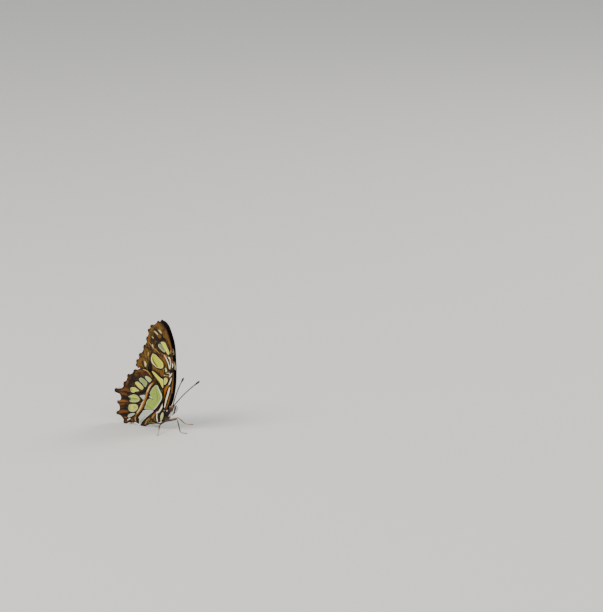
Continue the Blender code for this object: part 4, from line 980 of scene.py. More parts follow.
def wingUnderScales(kind):
    # Wing scales: overlapping flakes of chitin about 0.1 mm long, which look matt like felt,
    # with soft colour edges where single scales of one colour stray among the others.
    material, tree = newMaterial("wingUnderScales_" + kind, Roughness=0.6, IOR=1.5,
                                 Specular_IOR_Level=0.18, Sheen_Weight=0.04, Sheen_Roughness=0.4)
    place = placeInMm(tree)
    wear = strayScales(tree, place)[1]
    ray = addNode(tree, "CombineXYZ", {axis: addNode(tree, "Attribute", out="Fac", attribute_name=field)
                                       for axis, field in (("X", "turn"), ("Y", "along"))})
    colours = {part: hexColour(code) for part, code in {**underside, **underside[kind]}.items()
               if isinstance(code, str)}
    colour = colours["ground"]
    for streak, (stretch, least, most) in underside["streaks"].items():
        spread = addNode(tree, "VectorMath", {0: ray, 1: stretch}, operation="MULTIPLY")
        noise = addNode(tree, "TexNoise", {"Vector": spread, "Scale": 1.0, "Detail": 3.0})
        mask = addNode(tree, "MapRange", {"Value": noise, "From Min": least, "From Max": most})
        colour = addNode(tree, "Mix", {0: mask, 6: colour, 7: colours[streak]}, 2, data_type="RGBA")
    for field, part, fade, reach in underside["lines"]:
        colour = paintLayer(tree, colour, field, colours[part], fade, wear, reach)
    soft = underside["soft"]
    for layer in ("shade", "rust", "orange", "black"):
        colour = paintLayer(tree, colour, layer, colours[layer], soft[layer], wear)
    colour = paintLayer(tree, colour, "patch", colours["black"], soft["patch"], wear, underside["outline"])
    tint = addNode(tree, "Attribute", out="Fac", attribute_name="tint")
    tints = addNode(tree, "ValToRGB", {"Fac": tint}, stops=underside["tints"])
    inward = addNode(tree, "Attribute", out="Fac", attribute_name="patch")
    rim = addNode(tree, "MapRange", {"Value": inward, "From Min": -0.5, "From Max": -0.1, "To Max": 0.4})
    fill = addNode(tree, "Mix", {0: rim, 6: tints, 7: colours["patchRim"]}, 2, data_type="RGBA")
    colour = paintLayer(tree, colour, "patch", fill, soft["patch"], wear)
    for layer in ("olive", "yellow", "tan", "buff", "cream", "line"):
        colour = paintLayer(tree, colour, layer, colours[layer], soft[layer], wear)
    speckle = addNode(tree, "TexNoise", {"Vector": place, "Scale": 9.0, "Detail": 1.0})     # single scales
    rowRelief(tree, place, grained(tree, colour, speckle, 0.82, 1.12))
    return material


def wingUpperScales():
    # The wing's upper scales: velvety black-brown with clear green windows between them.
    material, tree = newMaterial("wingUpperScales", Roughness=0.6, IOR=1.5, Specular_IOR_Level=0.15,
                                 Sheen_Weight=0.03)
    place = placeInMm(tree)
    fine, wear = strayScales(tree, place)
    cloud = addNode(tree, "TexNoise", {"Vector": place, "Scale": 0.5})     # patches about 2 mm wide
    colours = {part: hexColour(code) for part, code in upperside.items()}
    colour = addNode(tree, "Mix", {0: fine, 6: colours["ground"], 7: colours["light"]}, 2, data_type="RGBA")
    green = addNode(tree, "Mix", {0: cloud, 6: colours["green"], 7: colours["greenPale"]}, 2,
                    data_type="RGBA")
    colour = paintLayer(tree, colour, "window", green, 0.3, wear)
    colour = paintLayer(tree, colour, "spot", colours["cream"], 0.14, wear)
    colour = paintLayer(tree, colour, "vein", colours["ground"], 0.08, wear, 0.15)
    rowRelief(tree, place, colour)
    return material


wingPlans = {
    "forewing": {"outline": foreOutline, "veins": foreWing["veins"], "halfGap": foreHalfGap,
                 "marks": foreMarks},
    "hindwing": {"outline": hindOutline, "veins": hindWing["veins"], "halfGap": hindHalfGap,
                 "marks": hindMarks},
}


def makeWings():
    upperScales = wingUpperScales()
    nets = {}
    for kind, plan in wingPlans.items():
        nets[kind] = wingNet(plan["outline"](), plan["veins"])
        fields = wingFields(nets[kind], plan["marks"], upperMarks[kind])
        underScales = wingUnderScales(kind)
        for name in sides:
            buildWing(kind, name, nets[kind], plan["halfGap"], fields, [underScales, upperScales])
        print(kind, "net has", len(nets[kind]["flat"]), "points")
    return nets


# Fringe: a row of narrow scales along the scalloped margins, white in the notches

fringe = {
    "spacing": 0.09, "length": 0.58, "size": (0.15, 0.03, 0.05),
    "layers": (-0.05, 0.04),  # mm of each row from the wing's middle
    "toothReach": 1.1,        # mm from a tooth's tip that stay dark
    "scales": ("#2A140A", "#8A6A48", "#FBF8F0"),
    # tips of the dark teeth, and the part of the outline that carries a fringe
    "forewing": (foreWing["teeth"], lambda x, z: (x < -3.2) & (z > 22.6)),
    "hindwing": (hindWing["teeth"] + [(-33.6, 7.0), (-33.0, 0.3), (-33.7, -6.3), (-28.5, -11.4),
                                      (-23.0, -10.4), (-16.0, -11.7)],
                 lambda x, z: (x < -15.4) & ((z > -11.5) | (x > -26.5)) & (z > -11.3)),
}


def addFringe(kind, name, outline, material):
    side, halfGap = sides[name], wingPlans[kind]["halfGap"]
    toothTips, onMargin = fringe[kind]
    loop = evenLoop(outline, fringe["spacing"])
    step = np.roll(loop, -1, axis=0) - np.roll(loop, 1, axis=0)
    normal = unit(np.column_stack([step[:, 1], -step[:, 0]]))
    if insideLoop(loop[:1] + normal[:1] * 0.2, outline)[0]:
        normal = -normal
    tooth = np.min([np.linalg.norm(loop - tip, axis=1) for tip in toothTips], axis=0)
    keep = onMargin(loop[:, 0], loop[:, 1])
    loop, normal, tooth = loop[keep], normal[keep], tooth[keep]
    count = len(loop)
    white = smoothStep((tooth + draws.normal(0.0, 0.12, count) - fringe["toothReach"]) / 0.3)
    roots, alongs = [], []
    for layer in fringe["layers"]:
        y = side * (halfGap(loop[:, 0], loop[:, 1]) + layer)
        roots.append(np.column_stack([loop[:, 0], y, loop[:, 1]]))
        lean = draws.normal(0.0, 0.16, (count, 2))
        alongs.append(np.column_stack([normal[:, 0] + lean[:, 0] * normal[:, 1], lean[:, 1] * 0.6,
                                       normal[:, 1] - lean[:, 0] * normal[:, 0]]))
    white = np.tile(white, 2)
    share = (np.tile(loop, (2, 1)) - outline.min(0)) / np.ptp(outline, axis=0).max()
    lengths = fringe["length"] * draws.uniform(0.75, 1.1, count * 2) * (0.7 + 0.3 * white)
    addBlades(kind + "Fringe_" + name, np.vstack(roots), np.vstack(alongs), (0.0, side, 0.0), lengths,
              fringe["size"], material, "wing", mapPlace(*share.T), white)


def toneScales(name, tones, roughness):
    # Narrow scales and hair: matt and soft, a little lighter where they catch the light.
    material, tree = newMaterial(name, Roughness=roughness, IOR=1.5, Specular_IOR_Level=0.3,
                                 Sheen_Weight=0.1, Sheen_Roughness=0.5)
    tone = addNode(tree, "Attribute", out="Fac", attribute_name="tone")
    colour = addNode(tree, "ValToRGB", {"Fac": tone}, stops=list(zip((0.0, 0.5, 1.0), tones)))
    mottle = addNode(tree, "TexNoise", {"Vector": placeInMm(tree), "Scale": 3.0, "Detail": 3.0})
    joinSurface(tree, grained(tree, colour, mottle, 0.75, 1.2), mottle, 0.3, 0.03)
    return material


def makeFringes(nets):
    scales = toneScales("fringeScales", fringe["scales"], 0.6)
    for name in sides:
        for kind, net in nets.items():
            addFringe(kind, name, net["outline"], scales)
    print("fringes are on")


# Body: one skin over head, thorax and abdomen, and its coat

body = {
    # stations are x, height of the section's middle, half width and half height
    "thorax": [(-5.3, -3.4, 0.8, 1.0), (-4.6, -3.2, 1.3, 1.75), (-3.4, -2.9, 1.65, 2.35),
               (-1.8, -2.7, 1.85, 2.7), (-0.4, -2.5, 1.85, 2.8), (0.8, -2.1, 1.6, 2.5),
               (1.6, -1.6, 1.25, 2.0), (2.2, -1.1, 0.85, 1.3), (2.6, -0.7, 0.5, 0.75)],
    "neck": [(2.1, -1.0, 0.8, 0.9), (2.9, -0.5, 0.62, 0.72), (3.9, 0.5, 0.75, 0.8)],
    # along the abdomen: share of its length, half width and half height
    "abdomenFront": (-5.2, -3.45), "abdomenEnd": (-20.9, -6.6), "abdomenArch": 0.5,
    "abdomenRadii": [(0.0, 1.1, 1.35), (0.12, 1.42, 1.75), (0.3, 1.55, 1.95), (0.5, 1.42, 1.8),
                     (0.7, 1.15, 1.45), (0.88, 0.8, 1.0), (1.0, 0.3, 0.4)],
    "rings": 7, "ringGroove": 0.14, "ringSwell": 0.05,
    # centre and radii of rounded parts
    "head": ((4.4, 0.0, 1.0), (1.25, 1.36, 1.55)),
    "brow": ((5.05, 0.0, 0.75), (0.62, 0.85, 1.15)),
    "cheek": ((3.85, 0.0, -0.6), (0.6, 1.0, 0.62)),
    "tongueRoot": ((5.3, 0.0, -0.2), (0.36, 0.4, 0.42)),
    "headTilt": 15.0,         # degrees that the crown and the eyes lean forward
    "pairs": {
        "forewingShoulder": ((0.5, 1.5, -0.1), (1.5, 0.65, 1.3)),
        "hindwingRoot": ((-2.1, 2.0, -1.1), (1.35, 1.05, 1.25)),
        "tegula": ((1.7, 1.25, -0.2), (0.75, 0.5, 0.75)),
        "feelerSocket": ((4.8, 0.6, 2.5), (0.36, 0.32, 0.36)),
        "palpSocket": ((4.2, 0.95, -1.12), (0.6, 0.28, 0.28))},
    "hipLength": 1.1, "hipRise": 2.6, "hipRadii": [0.62, 0.56, 0.52, 0.38],
    "spine": [(-20.9, -6.6), (-13.0, -4.7), (-5.2, -3.4), (-1.0, -2.6), (2.6, -0.7), (4.4, 1.0),
              (6.0, 0.9)],
    "length": (-21.6, 28.2),  # rear end and length of the whole skin on its map
    "voxel": 0.12,
    "colours": ("#1A0E0C", "#6E5440", "#E8E0D2"),
    # how pale each part is, from 0 dark brown to 1 white, its place and the mm over which it fades
    "ground": 0.06, "belly": (0.4, -1.7, 1.4), "chin": (0.6, 0.1, 0.5),     # below a height
    "flank": (0.75, 0.1, 0.22), "collar": (0.3, 2.9, 0.3), "crown": (0.6, 0.95, 0.16),      # lines
    "whiteTufts": [((1.8, 1.7, -0.25), 0.5), ((-0.3, 2.1, -0.5), 0.65)],    # place and reach
}
coat = {
    # tufts for each region, their length and width in mm, how far they stand up, where along the
    # body they grow, and how far aside
    "thoraxHair": (9500, 0.8, 0.075, 0.5, (-5.6, 2.9), 9.0),
    "abdomenHair": (9000, 0.34, 0.085, 0.22, (-30.0, -5.2), 9.0),
    "headHair": (3800, 0.42, 0.055, 0.75, (2.7, 30.0), 1.42),
}
coatLook = {
    "lie": (-1.0, 0.0, -0.12), "stray": 0.16, "toneSpread": 0.07,
    "crownLie": (-0.6, 0.35), "browLie": (0.5, 0.5), "brow": 4.9,   # forward on the brow
    "hips": -5.4, "hipShare": 0.5,                                  # short below this height
    "wingRoots": [(0.5, 0.6), (-1.9, -0.2)],
    "rootShare": 0.45, "rootReach": (0.8, 1.2),                     # short beside the wing roots
}


def abdomenStations():
    stations = []
    marks, widths, heights = np.array(body["abdomenRadii"]).T
    (x0, z0), (x1, z1) = body["abdomenFront"], body["abdomenEnd"]
    for t in np.linspace(0.0, 1.0, body["rings"] * 12 + 1):
        place = (t * body["rings"]) % 1.0
        groove = body["ringGroove"] * (math.exp(-(place / 0.09) ** 2)
                                       + 0.6 * math.exp(-((1 - place) / 0.05) ** 2))
        shrink = (groove if 0.05 < t < 0.97 else 0.0) - body["ringSwell"] * math.sin(math.pi * place)
        rise = body["abdomenArch"] * math.sin(math.pi * t)
        stations.append((x0 + (x1 - x0) * t, z0 + (z1 - z0) * t + rise,
                         np.interp(t, marks, widths) - shrink, np.interp(t, marks, heights) - shrink))
    return stations


def spineHeight(x):
    # height of the body's middle line at each x
    return np.interp(x, *zip(*body["spine"]))


def skinMap(points):
    # an unrolled body: round it across, along it upward
    turn = np.arctan2(points[:, 1], points[:, 2] - spineHeight(points[:, 0])) / math.tau + 0.5
    return mapPlace(turn, (points[:, 0] - body["length"][0]) / body["length"][1])


def paleBelow(part, height):
    # how much paler a part is under its height, and paleLine does so along a line
    pale, top, fade = body[part]
    return pale * smoothStep((top - height) / fade)


def paleLine(part, place):
    pale, middle, fade = body[part]
    return pale * np.exp(-((place - middle) / fade) ** 2)


def bodyTone(points):
    # dark above, paler low down, with a pale line down each flank
    x, y, z = points.T
    rise = z - spineHeight(x)
    head = smoothStep((x - 3.0) / 0.4)
    tone = body["ground"] + paleBelow("belly", rise) * (1.0 - head)
    for spot, reach in body["whiteTufts"]:
        gap = np.linalg.norm(np.column_stack([x, np.abs(y), z]) - spot, axis=1)
        tone = np.maximum(tone, smoothStep((reach - gap) / 0.15))
    flank = paleLine("flank", rise) * smoothStep((-4.5 - x) / 0.6)          # on the abdomen
    chin = paleBelow("chin", z) * head
    crown = paleLine("crown", np.abs(y)) * head * smoothStep((z - 1.2) / 0.6)
    return np.clip(np.maximum.reduce([tone, flank, paleLine("collar", x), chin, crown]), 0.0, 1.0)


def skinShape():
    # the body's rounded parts melted into one skin
    thorax = [tuple(row) for row in curveThrough(body["thorax"], 5)]
    parts = [loft(thorax, 48), loft(abdomenStations(), 48), loft(body["neck"], 24),
             ball(*body["head"], tilt=body["headTilt"]), ball(*body["brow"], tilt=body["headTilt"]),
             ball(*body["cheek"])]
    for side in sides.values():
        parts += [ball(mirrored(centre, side), radii) for centre, radii in body["pairs"].values()]
    parts.append(ball(*body["tongueRoot"]))
    for leg in legs.values():
        hip, knee = np.array(leg["hip"]), np.array(leg["knee"])
        elbow = hip - unit(knee - hip) * body["hipLength"]
        inner = np.array([elbow[0], hip[1] * 0.4, hip[2] + body["hipRise"]])
        parts.append(sweep([inner, (inner + elbow) / 2, elbow, hip], body["hipRadii"], 20))
    points, faces = joinParts(parts)
    mesh = bpy.data.meshes.new("skinDraft")
    mesh.from_pydata(points.tolist(), [], faces)
    draft = addObject("skinDraft", mesh)
    remesh = draft.modifiers.new("remesh", "REMESH")
    remesh.mode = "VOXEL"
    remesh.voxel_size = body["voxel"]
    smooth = draft.modifiers.new("smooth", "SMOOTH")
    smooth.factor, smooth.iterations = 0.5, 6
    whole = bpy.data.meshes.new_from_object(draft.evaluated_get(bpy.context.evaluated_depsgraph_get()))
    bpy.data.objects.remove(draft)
    flat = np.empty(len(whole.vertices) * 3, np.float32)
    whole.vertices.foreach_get("co", flat)
    return flat.reshape(-1, 3).astype(float), [list(polygon.vertices) for polygon in whole.polygons]


def makeSkin(shape, material):
    skin = addPiece("bodySkin", shape, [material], "body", ["head", "thorax", "abdomen"], 180.0,
                    tone=bodyTone(shape[0]))
    mapped = skinMap(shape[0])[cornerPoints(skin)]
    for polygon in skin.data.polygons:                                      # keep the seam's faces whole
        group = mapped[polygon.loop_start:polygon.loop_start + polygon.loop_total, 0]
        if np.ptp(group) > 0.4:
            group[group < 0.5] += 0.94
    setBakeMap(skin, mapped)


def makeCoat(shape, material):
    points, faces = shape
    a, b, c = (points[[face[corner] for face in faces]] for corner in range(3))
    normals = np.cross(b - a, c - a)
    area = np.linalg.norm(normals, axis=1)
    normals = normals / area[:, None]
    middle = (a + c) / 2
    wingRoot = np.minimum.reduce([np.hypot(middle[:, 0] - x, middle[:, 2] - z)
                                  for x, z in coatLook["wingRoots"]])
    rootGap, rootFade = coatLook["rootReach"]
    for name, (count, length, width, stand, (rear, front), aside) in coat.items():
        chosen = np.flatnonzero((middle[:, 0] > rear) & (middle[:, 0] <= front)
                                & (np.abs(middle[:, 1]) < aside))
        picks = draws.choice(chosen, count, p=area[chosen] / area[chosen].sum())
        mix = draws.dirichlet((1.0, 1.0, 1.0), count)
        roots = a[picks] * mix[:, :1] + b[picks] * mix[:, 1:2] + c[picks] * mix[:, 2:]
        outs = normals[picks]
        x, y, z = roots.T
        lie = np.tile(coatLook["lie"], (count, 1))
        if name == "headHair":
            ahead, up = np.where(x[:, None] > coatLook["brow"], coatLook["browLie"], coatLook["crownLie"]).T
            lie = np.column_stack([ahead, y * 0.15, up])
        alongs = lie - outs * (lie * outs).sum(1)[:, None] + outs * stand
        alongs = alongs + draws.normal(0.0, coatLook["stray"], (count, 3))
        lengths = length * draws.uniform(0.6, 1.15, count)
        lengths = lengths * np.where(z < coatLook["hips"], coatLook["hipShare"], 1.0)
        grown = smoothStep((wingRoot[picks] - rootGap) / rootFade)
        lengths = lengths * (coatLook["rootShare"] + (1.0 - coatLook["rootShare"]) * grown)
        tone = np.clip(bodyTone(roots) + draws.normal(0.0, coatLook["toneSpread"], count), 0.0, 1.0)
        addBlades(name, roots, alongs, outs, lengths, (width, width * 0.4, -0.16), material, "body",
                  skinMap(roots), tone)


def makeBody():
    bodyScales = toneScales("bodyHairAndScales", body["colours"], 0.65)
    shape = skinShape()
    makeSkin(shape, bodyScales)
    makeCoat(shape, bodyScales)
    print("body has", len(shape[0]), "skin points")


# Head: eyes, palps, feelers and tongue

eyes = {
    "centre": (4.25, 1.36, 1.2), "radii": (1.28, 0.92, 1.66),
    # colours up the eye's height: black below, then a painted highlight of brown to orange-brown on its top
    "highlightBands": [(0.35, "#080403"), (0.58, "#1A0D07"), (0.74, "#5A3414"), (0.92, "#A8702C")],
    "mottle": "#140A06",
    "facets": 14.0,           # per mm, so 0.07 mm, twice as coarse as real ones
}
eyeRim = {
    "count": 420, "radii": (1.27, 1.57), "outward": 1.3,
    "lengths": (0.2, 0.36), "size": (0.07, 0.03, 0.0),
    "lean": (-0.5, 0.9, 0.15), "stray": 0.2,
    "colours": ("#20150F", "#B0A28C", "#F4F0E6"),
}


def eyeFacets():
    # Compound eye: thousands of smooth lenses over brown pigment, glossy like lacquer.
    material, tree = newMaterial("eyeFacets", Roughness=0.3, IOR=1.5, Coat_Weight=0.25, Coat_Roughness=0.08)
    place = placeInMm(tree)
    # painted highlight: the eye grows lighter toward its top
    height = addNode(tree, "SeparateXYZ", {0: addNode(tree, "TexCoord", out="Generated")}, "Z")
    highlightBands = addNode(tree, "ValToRGB", {"Fac": height}, stops=eyes["highlightBands"])
    mottle = addNode(tree, "TexNoise", {"Vector": place, "Scale": 2.5})
    patchy = addNode(tree, "MapRange", {"Value": mottle, "From Min": 0.45, "From Max": 0.75, "To Max": 0.4})
    colour = addNode(tree, "Mix", {0: patchy, 6: highlightBands, 7: hexColour(eyes["mottle"])}, 2, data_type="RGBA")
    facets = addNode(tree, "TexVoronoi", {"Vector": place, "Scale": eyes["facets"]}, "Distance")
    joinSurface(tree, colour, facets, 0.5, -0.02)
    return material


def makeEyes():
    lenses = eyeFacets()
    rimScales = toneScales("eyeRimScales", eyeRim["colours"], 0.6)
    count = eyeRim["count"]
    for name, side in sides.items():
        centre = mirrored(eyes["centre"], side)
        addPiece("eyeLens_" + name, ball(centre, eyes["radii"], 72, 48, body["headTilt"]), [lenses], "eye",
                 ["eye_" + name], 180.0)
        turn = np.sort(draws.uniform(0.0, math.tau, count))
        long, high = eyeRim["radii"]
        roots = np.column_stack([centre[0] + long * np.cos(turn), np.full(count, side * eyeRim["outward"]),
                                 centre[2] + high * np.sin(turn)])
        outs = np.column_stack([np.cos(turn), np.full(count, side * 0.4), np.sin(turn)])
        lean = np.array(mirrored(eyeRim["lean"], side))
        alongs = lean + outs * 0.5 + draws.normal(0.0, eyeRim["stray"], (count, 3))
        lengths = draws.uniform(*eyeRim["lengths"], count)
        addBlades("eyeRimScales_" + name, roots, alongs, outs, lengths, eyeRim["size"], rimScales, "palp",
                  mapPlace(turn / math.tau, draws.uniform(0.4, 0.6, count)),
                  np.clip(draws.normal(0.85, 0.12, count), 0.0, 1.0))
    print("eyes are in")


palps = {
    "path": [(4.6, 1.05, -1.1), (5.3, 1.15, -1.0), (5.95, 1.2, -0.1), (6.25, 1.15, 1.2), (6.3, 0.9, 2.85)],
    "radii": [0.3, 0.42, 0.48, 0.42, 0.14], "sides": 20,
    "colours": ("#060404", "#6E645A", "#FFFDF8"),
    "stripe": (20.0, 34.0), "rear": (140.0, 15.0),      # degrees round from the front, and fade
    # scales: their number, whether they also root between the path's points, how deep, how far
    # they stand up and stray, and their lengths and size
    "cover": {"count": 1100, "between": True, "depth": 0.92, "stand": 0.4, "stray": 0.12,
              "lengths": (0.28, 0.5), "size": (0.09, 0.03, -0.1)},
}
forelegs = {
    "path": [(2.55, 1.35, -3.6), (3.2, 1.6, -2.9), (3.8, 1.8, -2.2), (4.15, 1.85, -1.5)],
    "radii": [0.24, 0.34, 0.32, 0.12], "sides": 16,
    "colours": ("#4A3C38", "#B4A8A4", "#F6F2F4"),
    "cover": {"count": 900, "between": False, "depth": 0.9, "stand": 0.5, "stray": 0.15,
              "lengths": (0.3, 0.55), "size": (0.05, 0.025, -0.1)},
}


def coverTube(name, path, radii, cover, material, toneOf):
    # scales or hair all round a tube, pointing along it
    count = cover["count"]
    spots = draws.integers(0, len(path) - 1, count)
    share = draws.uniform(0.0, 1.0, (count, 1)) if cover["between"] else np.zeros((count, 1))
    middle = path[spots] * (1 - share) + path[spots + 1] * share
    along = unit(path[spots + 1] - path[spots])
    outs = unit(np.cross(along, draws.normal(0.0, 1.0, (count, 3))))
    off = outs * radii[spots][:, None]
    alongs = along + outs * cover["stand"] + draws.normal(0.0, cover["stray"], (count, 3))
    turn = np.arctan2(outs[:, 1], outs[:, 0]) / math.tau + 0.5
    addBlades(name, middle + off * cover["depth"], alongs, outs, draws.uniform(*cover["lengths"], count),
              cover["size"], material, "palp", mapPlace(turn, (spots + share[:, 0]) / (len(path) - 1)),
              toneOf(middle + off))


def palpTone(points, path, side):
    # white with one black stripe along the outer front edge and a dark back
    gap = np.linalg.norm(points[:, None, :] - path[None, :, :], axis=2).argmin(1)
    off = points - path[gap]
    turn = np.degrees(np.arctan2(off[:, 1] * side, off[:, 0]))
    (middle, width), (start, fade) = palps["stripe"], palps["rear"]
    stripe = smoothStep(2.0 - np.abs(turn - middle) / width)
    rear = smoothStep((np.abs(turn) - start) / fade)
    return np.clip(1.0 - 1.2 * np.maximum(stripe, rear), 0.0, 1.0)


def makePalps():
    scales = toneScales("palpScales", palps["colours"], 0.6)
    for name, side in sides.items():
        path = curveThrough([mirrored(point, side) for point in palps["path"]], 6)
        radii = radiiThrough(palps["radii"], 6)
        shape = sweep(path, radii, palps["sides"])
        addPiece("palpSkin_" + name, shape, [scales], "palp", ["palp_" + name],
                 tone=palpTone(shape[0], path, side))
        coverTube("palpScales_" + name, path, radii, palps["cover"], scales,
                  lambda points: palpTone(points, path, side))
    print("palps are on")


def makeForelegs():
    # Brush feet: the small front legs, folded against the breast and thick with pale hair.
    hair = toneScales("forelegHair", forelegs["colours"], 0.65)
    for name, side in sides.items():
        path = curveThrough([mirrored(point, side) for point in forelegs["path"]], 6)
        radii = radiiThrough(forelegs["radii"], 6)
        shape = sweep(path, radii, forelegs["sides"])
        addPiece("forelegSkin_" + name, shape, [hair], "palp", ["foreleg_" + name],
                 tone=np.full(len(shape[0]), 0.7))
        coverTube("forelegHair_" + name, path, radii, forelegs["cover"], hair,
                  lambda points: np.clip(draws.normal(0.75, 0.15, len(points)), 0.0, 1.0))
    print("forelegs are folded")


def cuticle(name, stops, roughness, outerAndShadeStops=(), outer=(0.0, 0.0, 0.0)):
    # Insect cuticle: hard, smooth chitin like thin horn, satin where fine scales cover it.
    material, tree = newMaterial(name, Roughness=roughness, IOR=1.55, Specular_IOR_Level=0.45)
    reach = addNode(tree, "Attribute", out="Fac", attribute_name="reach")
    colour = addNode(tree, "ValToRGB", {"Fac": reach}, stops=stops)
    if outerAndShadeStops:
        # the dark ramp colours the outer side, and as painted shade the side that faces down
        normal = addNode(tree, "NewGeometry", out="Normal")
        facing = addNode(tree, "VectorMath", {0: normal, 1: outer}, "Value", operation="DOT_PRODUCT")
        outerSideAndShade = addNode(tree, "MapRange", {"Value": facing, "From Min": -0.4, "From Max": 0.1})
        dark = addNode(tree, "ValToRGB", {"Fac": reach}, stops=outerAndShadeStops)
        colour = addNode(tree, "Mix", {0: outerSideAndShade, 6: colour, 7: dark}, 2, data_type="RGBA")
    mottle = addNode(tree, "TexNoise", {"Vector": placeInMm(tree), "Scale": 4.0, "Detail": 3.0})
    joinSurface(tree, grained(tree, colour, mottle, 0.8, 1.15), mottle, 0.3, 0.02)
    return material


feelers = {
    "root": (4.9, 0.6, 2.75), "length": 21.0, "sink": 0.15, "sag": 0.7,
    "aims": {"right": (10.0, -3.6, 18.2), "left": (13.9, 5.0, 14.6)},
    "radius": 0.3, "base": 0.33, "baseLength": 0.8,
    "club": 0.54, "clubLength": 3.8, "clubTaper": 0.78, "tip": 0.14,
    "joints": 46, "sides": 14,
    # place in a joint and how much thicker the feeler is there
    "ring": [(0.02, -0.10), (0.14, 0.02), (0.55, 0.0), (0.86, 0.05), (0.98, -0.08)],
    "colours": [(0.0, "#241810"), (0.5, "#0E0A08"), (0.96, "#0E0A08"), (1.0, "#6A3C1C")],
}


def makeFeelers():
    # Feeler cuticle: black-brown rings, each with a hair-fine pale joint.
    dark = cuticle("feelerCuticle", feelers["colours"], 0.45)
    length, shaft = feelers["length"], feelers["length"] - feelers["clubLength"]
    for name, side in sides.items():
        root = mirrored(feelers["root"], side)
        along = unit(np.array(feelers["aims"][name]))
        sag = unit(np.cross(along, (0.0, 1.0, 0.0))) * feelers["sag"]
        path, radii, reach = [], [], []
        for joint in range(feelers["joints"]):
            for part, swell in feelers["ring"]:
                s = (joint + part) / feelers["joints"] * length
                t = min(max((s - shaft) / feelers["clubLength"], 0.0), 1.0)
                thicker = math.sin(math.pi * min(t * feelers["clubTaper"], 1.0)) ** 1.2
                radius = feelers["radius"] + (feelers["club"] - feelers["radius"]) * thicker
                if s < feelers["baseLength"]:
                    radius = feelers["base"]
                if t > 1.0 - feelers["tip"]:                                # rounded end
                    radius *= math.sqrt(max(1.0 - ((t - 1.0) / feelers["tip"] + 1.0) ** 2, 0.03))
                path.append(root + along * (s - feelers["sink"]) + sag * math.sin(math.pi * s / length))
                radii.append(radius * (1.0 + swell))
                reach.append(s / length)
        addPiece("feeler_" + name, sweep(path, radii, feelers["sides"]), [dark], "antenna",
                 ["antenna_" + name], 60.0, reach=tubeField(reach, feelers["sides"]))
    print("feelers are on")


tongue = {
    "centre": (5.4, -1.4), "radius": 0.51, "eye": 0.12, "turns": 1.9, "steps": 120,
    "tube": 0.115, "taper": 0.03, "ripple": 0.05, "rippleStep": 1.6, "sides": 12,
    "start": (5.3, 0.0, -0.5), "startRadius": 0.14,
    "colours": [(0.0, "#1E100A"), (0.5, "#3A2012"), (1.0, "#2A160C")],
}


def makeTongue():
    brown = cuticle("tongueCuticle", tongue["colours"], 0.35)
    t = np.linspace(0.0, 1.0, tongue["steps"] + 1)
    angle = math.pi / 2 - math.tau * tongue["turns"] * t
    reach = tongue["radius"] - (tongue["radius"] - tongue["eye"]) * t
    coil = np.column_stack([tongue["centre"][0] + reach * np.cos(angle), np.zeros(len(t)),
                            tongue["centre"][1] + reach * np.sin(angle)])
    ripples = 1.0 + tongue["ripple"] * np.sin(np.arange(len(t)) * tongue["rippleStep"])
    path = np.vstack([[tongue["start"]], coil])
    radii = [tongue["startRadius"], *((tongue["tube"] - tongue["taper"] * t) * ripples)]
    addPiece("tongueRoll", sweep(path, radii, tongue["sides"]), [brown], "proboscis", ["proboscis"], 60.0,
             reach=tubeField(np.linspace(0.0, 1.0, len(path)), tongue["sides"]))
    print("tongue is rolled up")


# Legs: middle and hind ones, with spines, spurs and claws

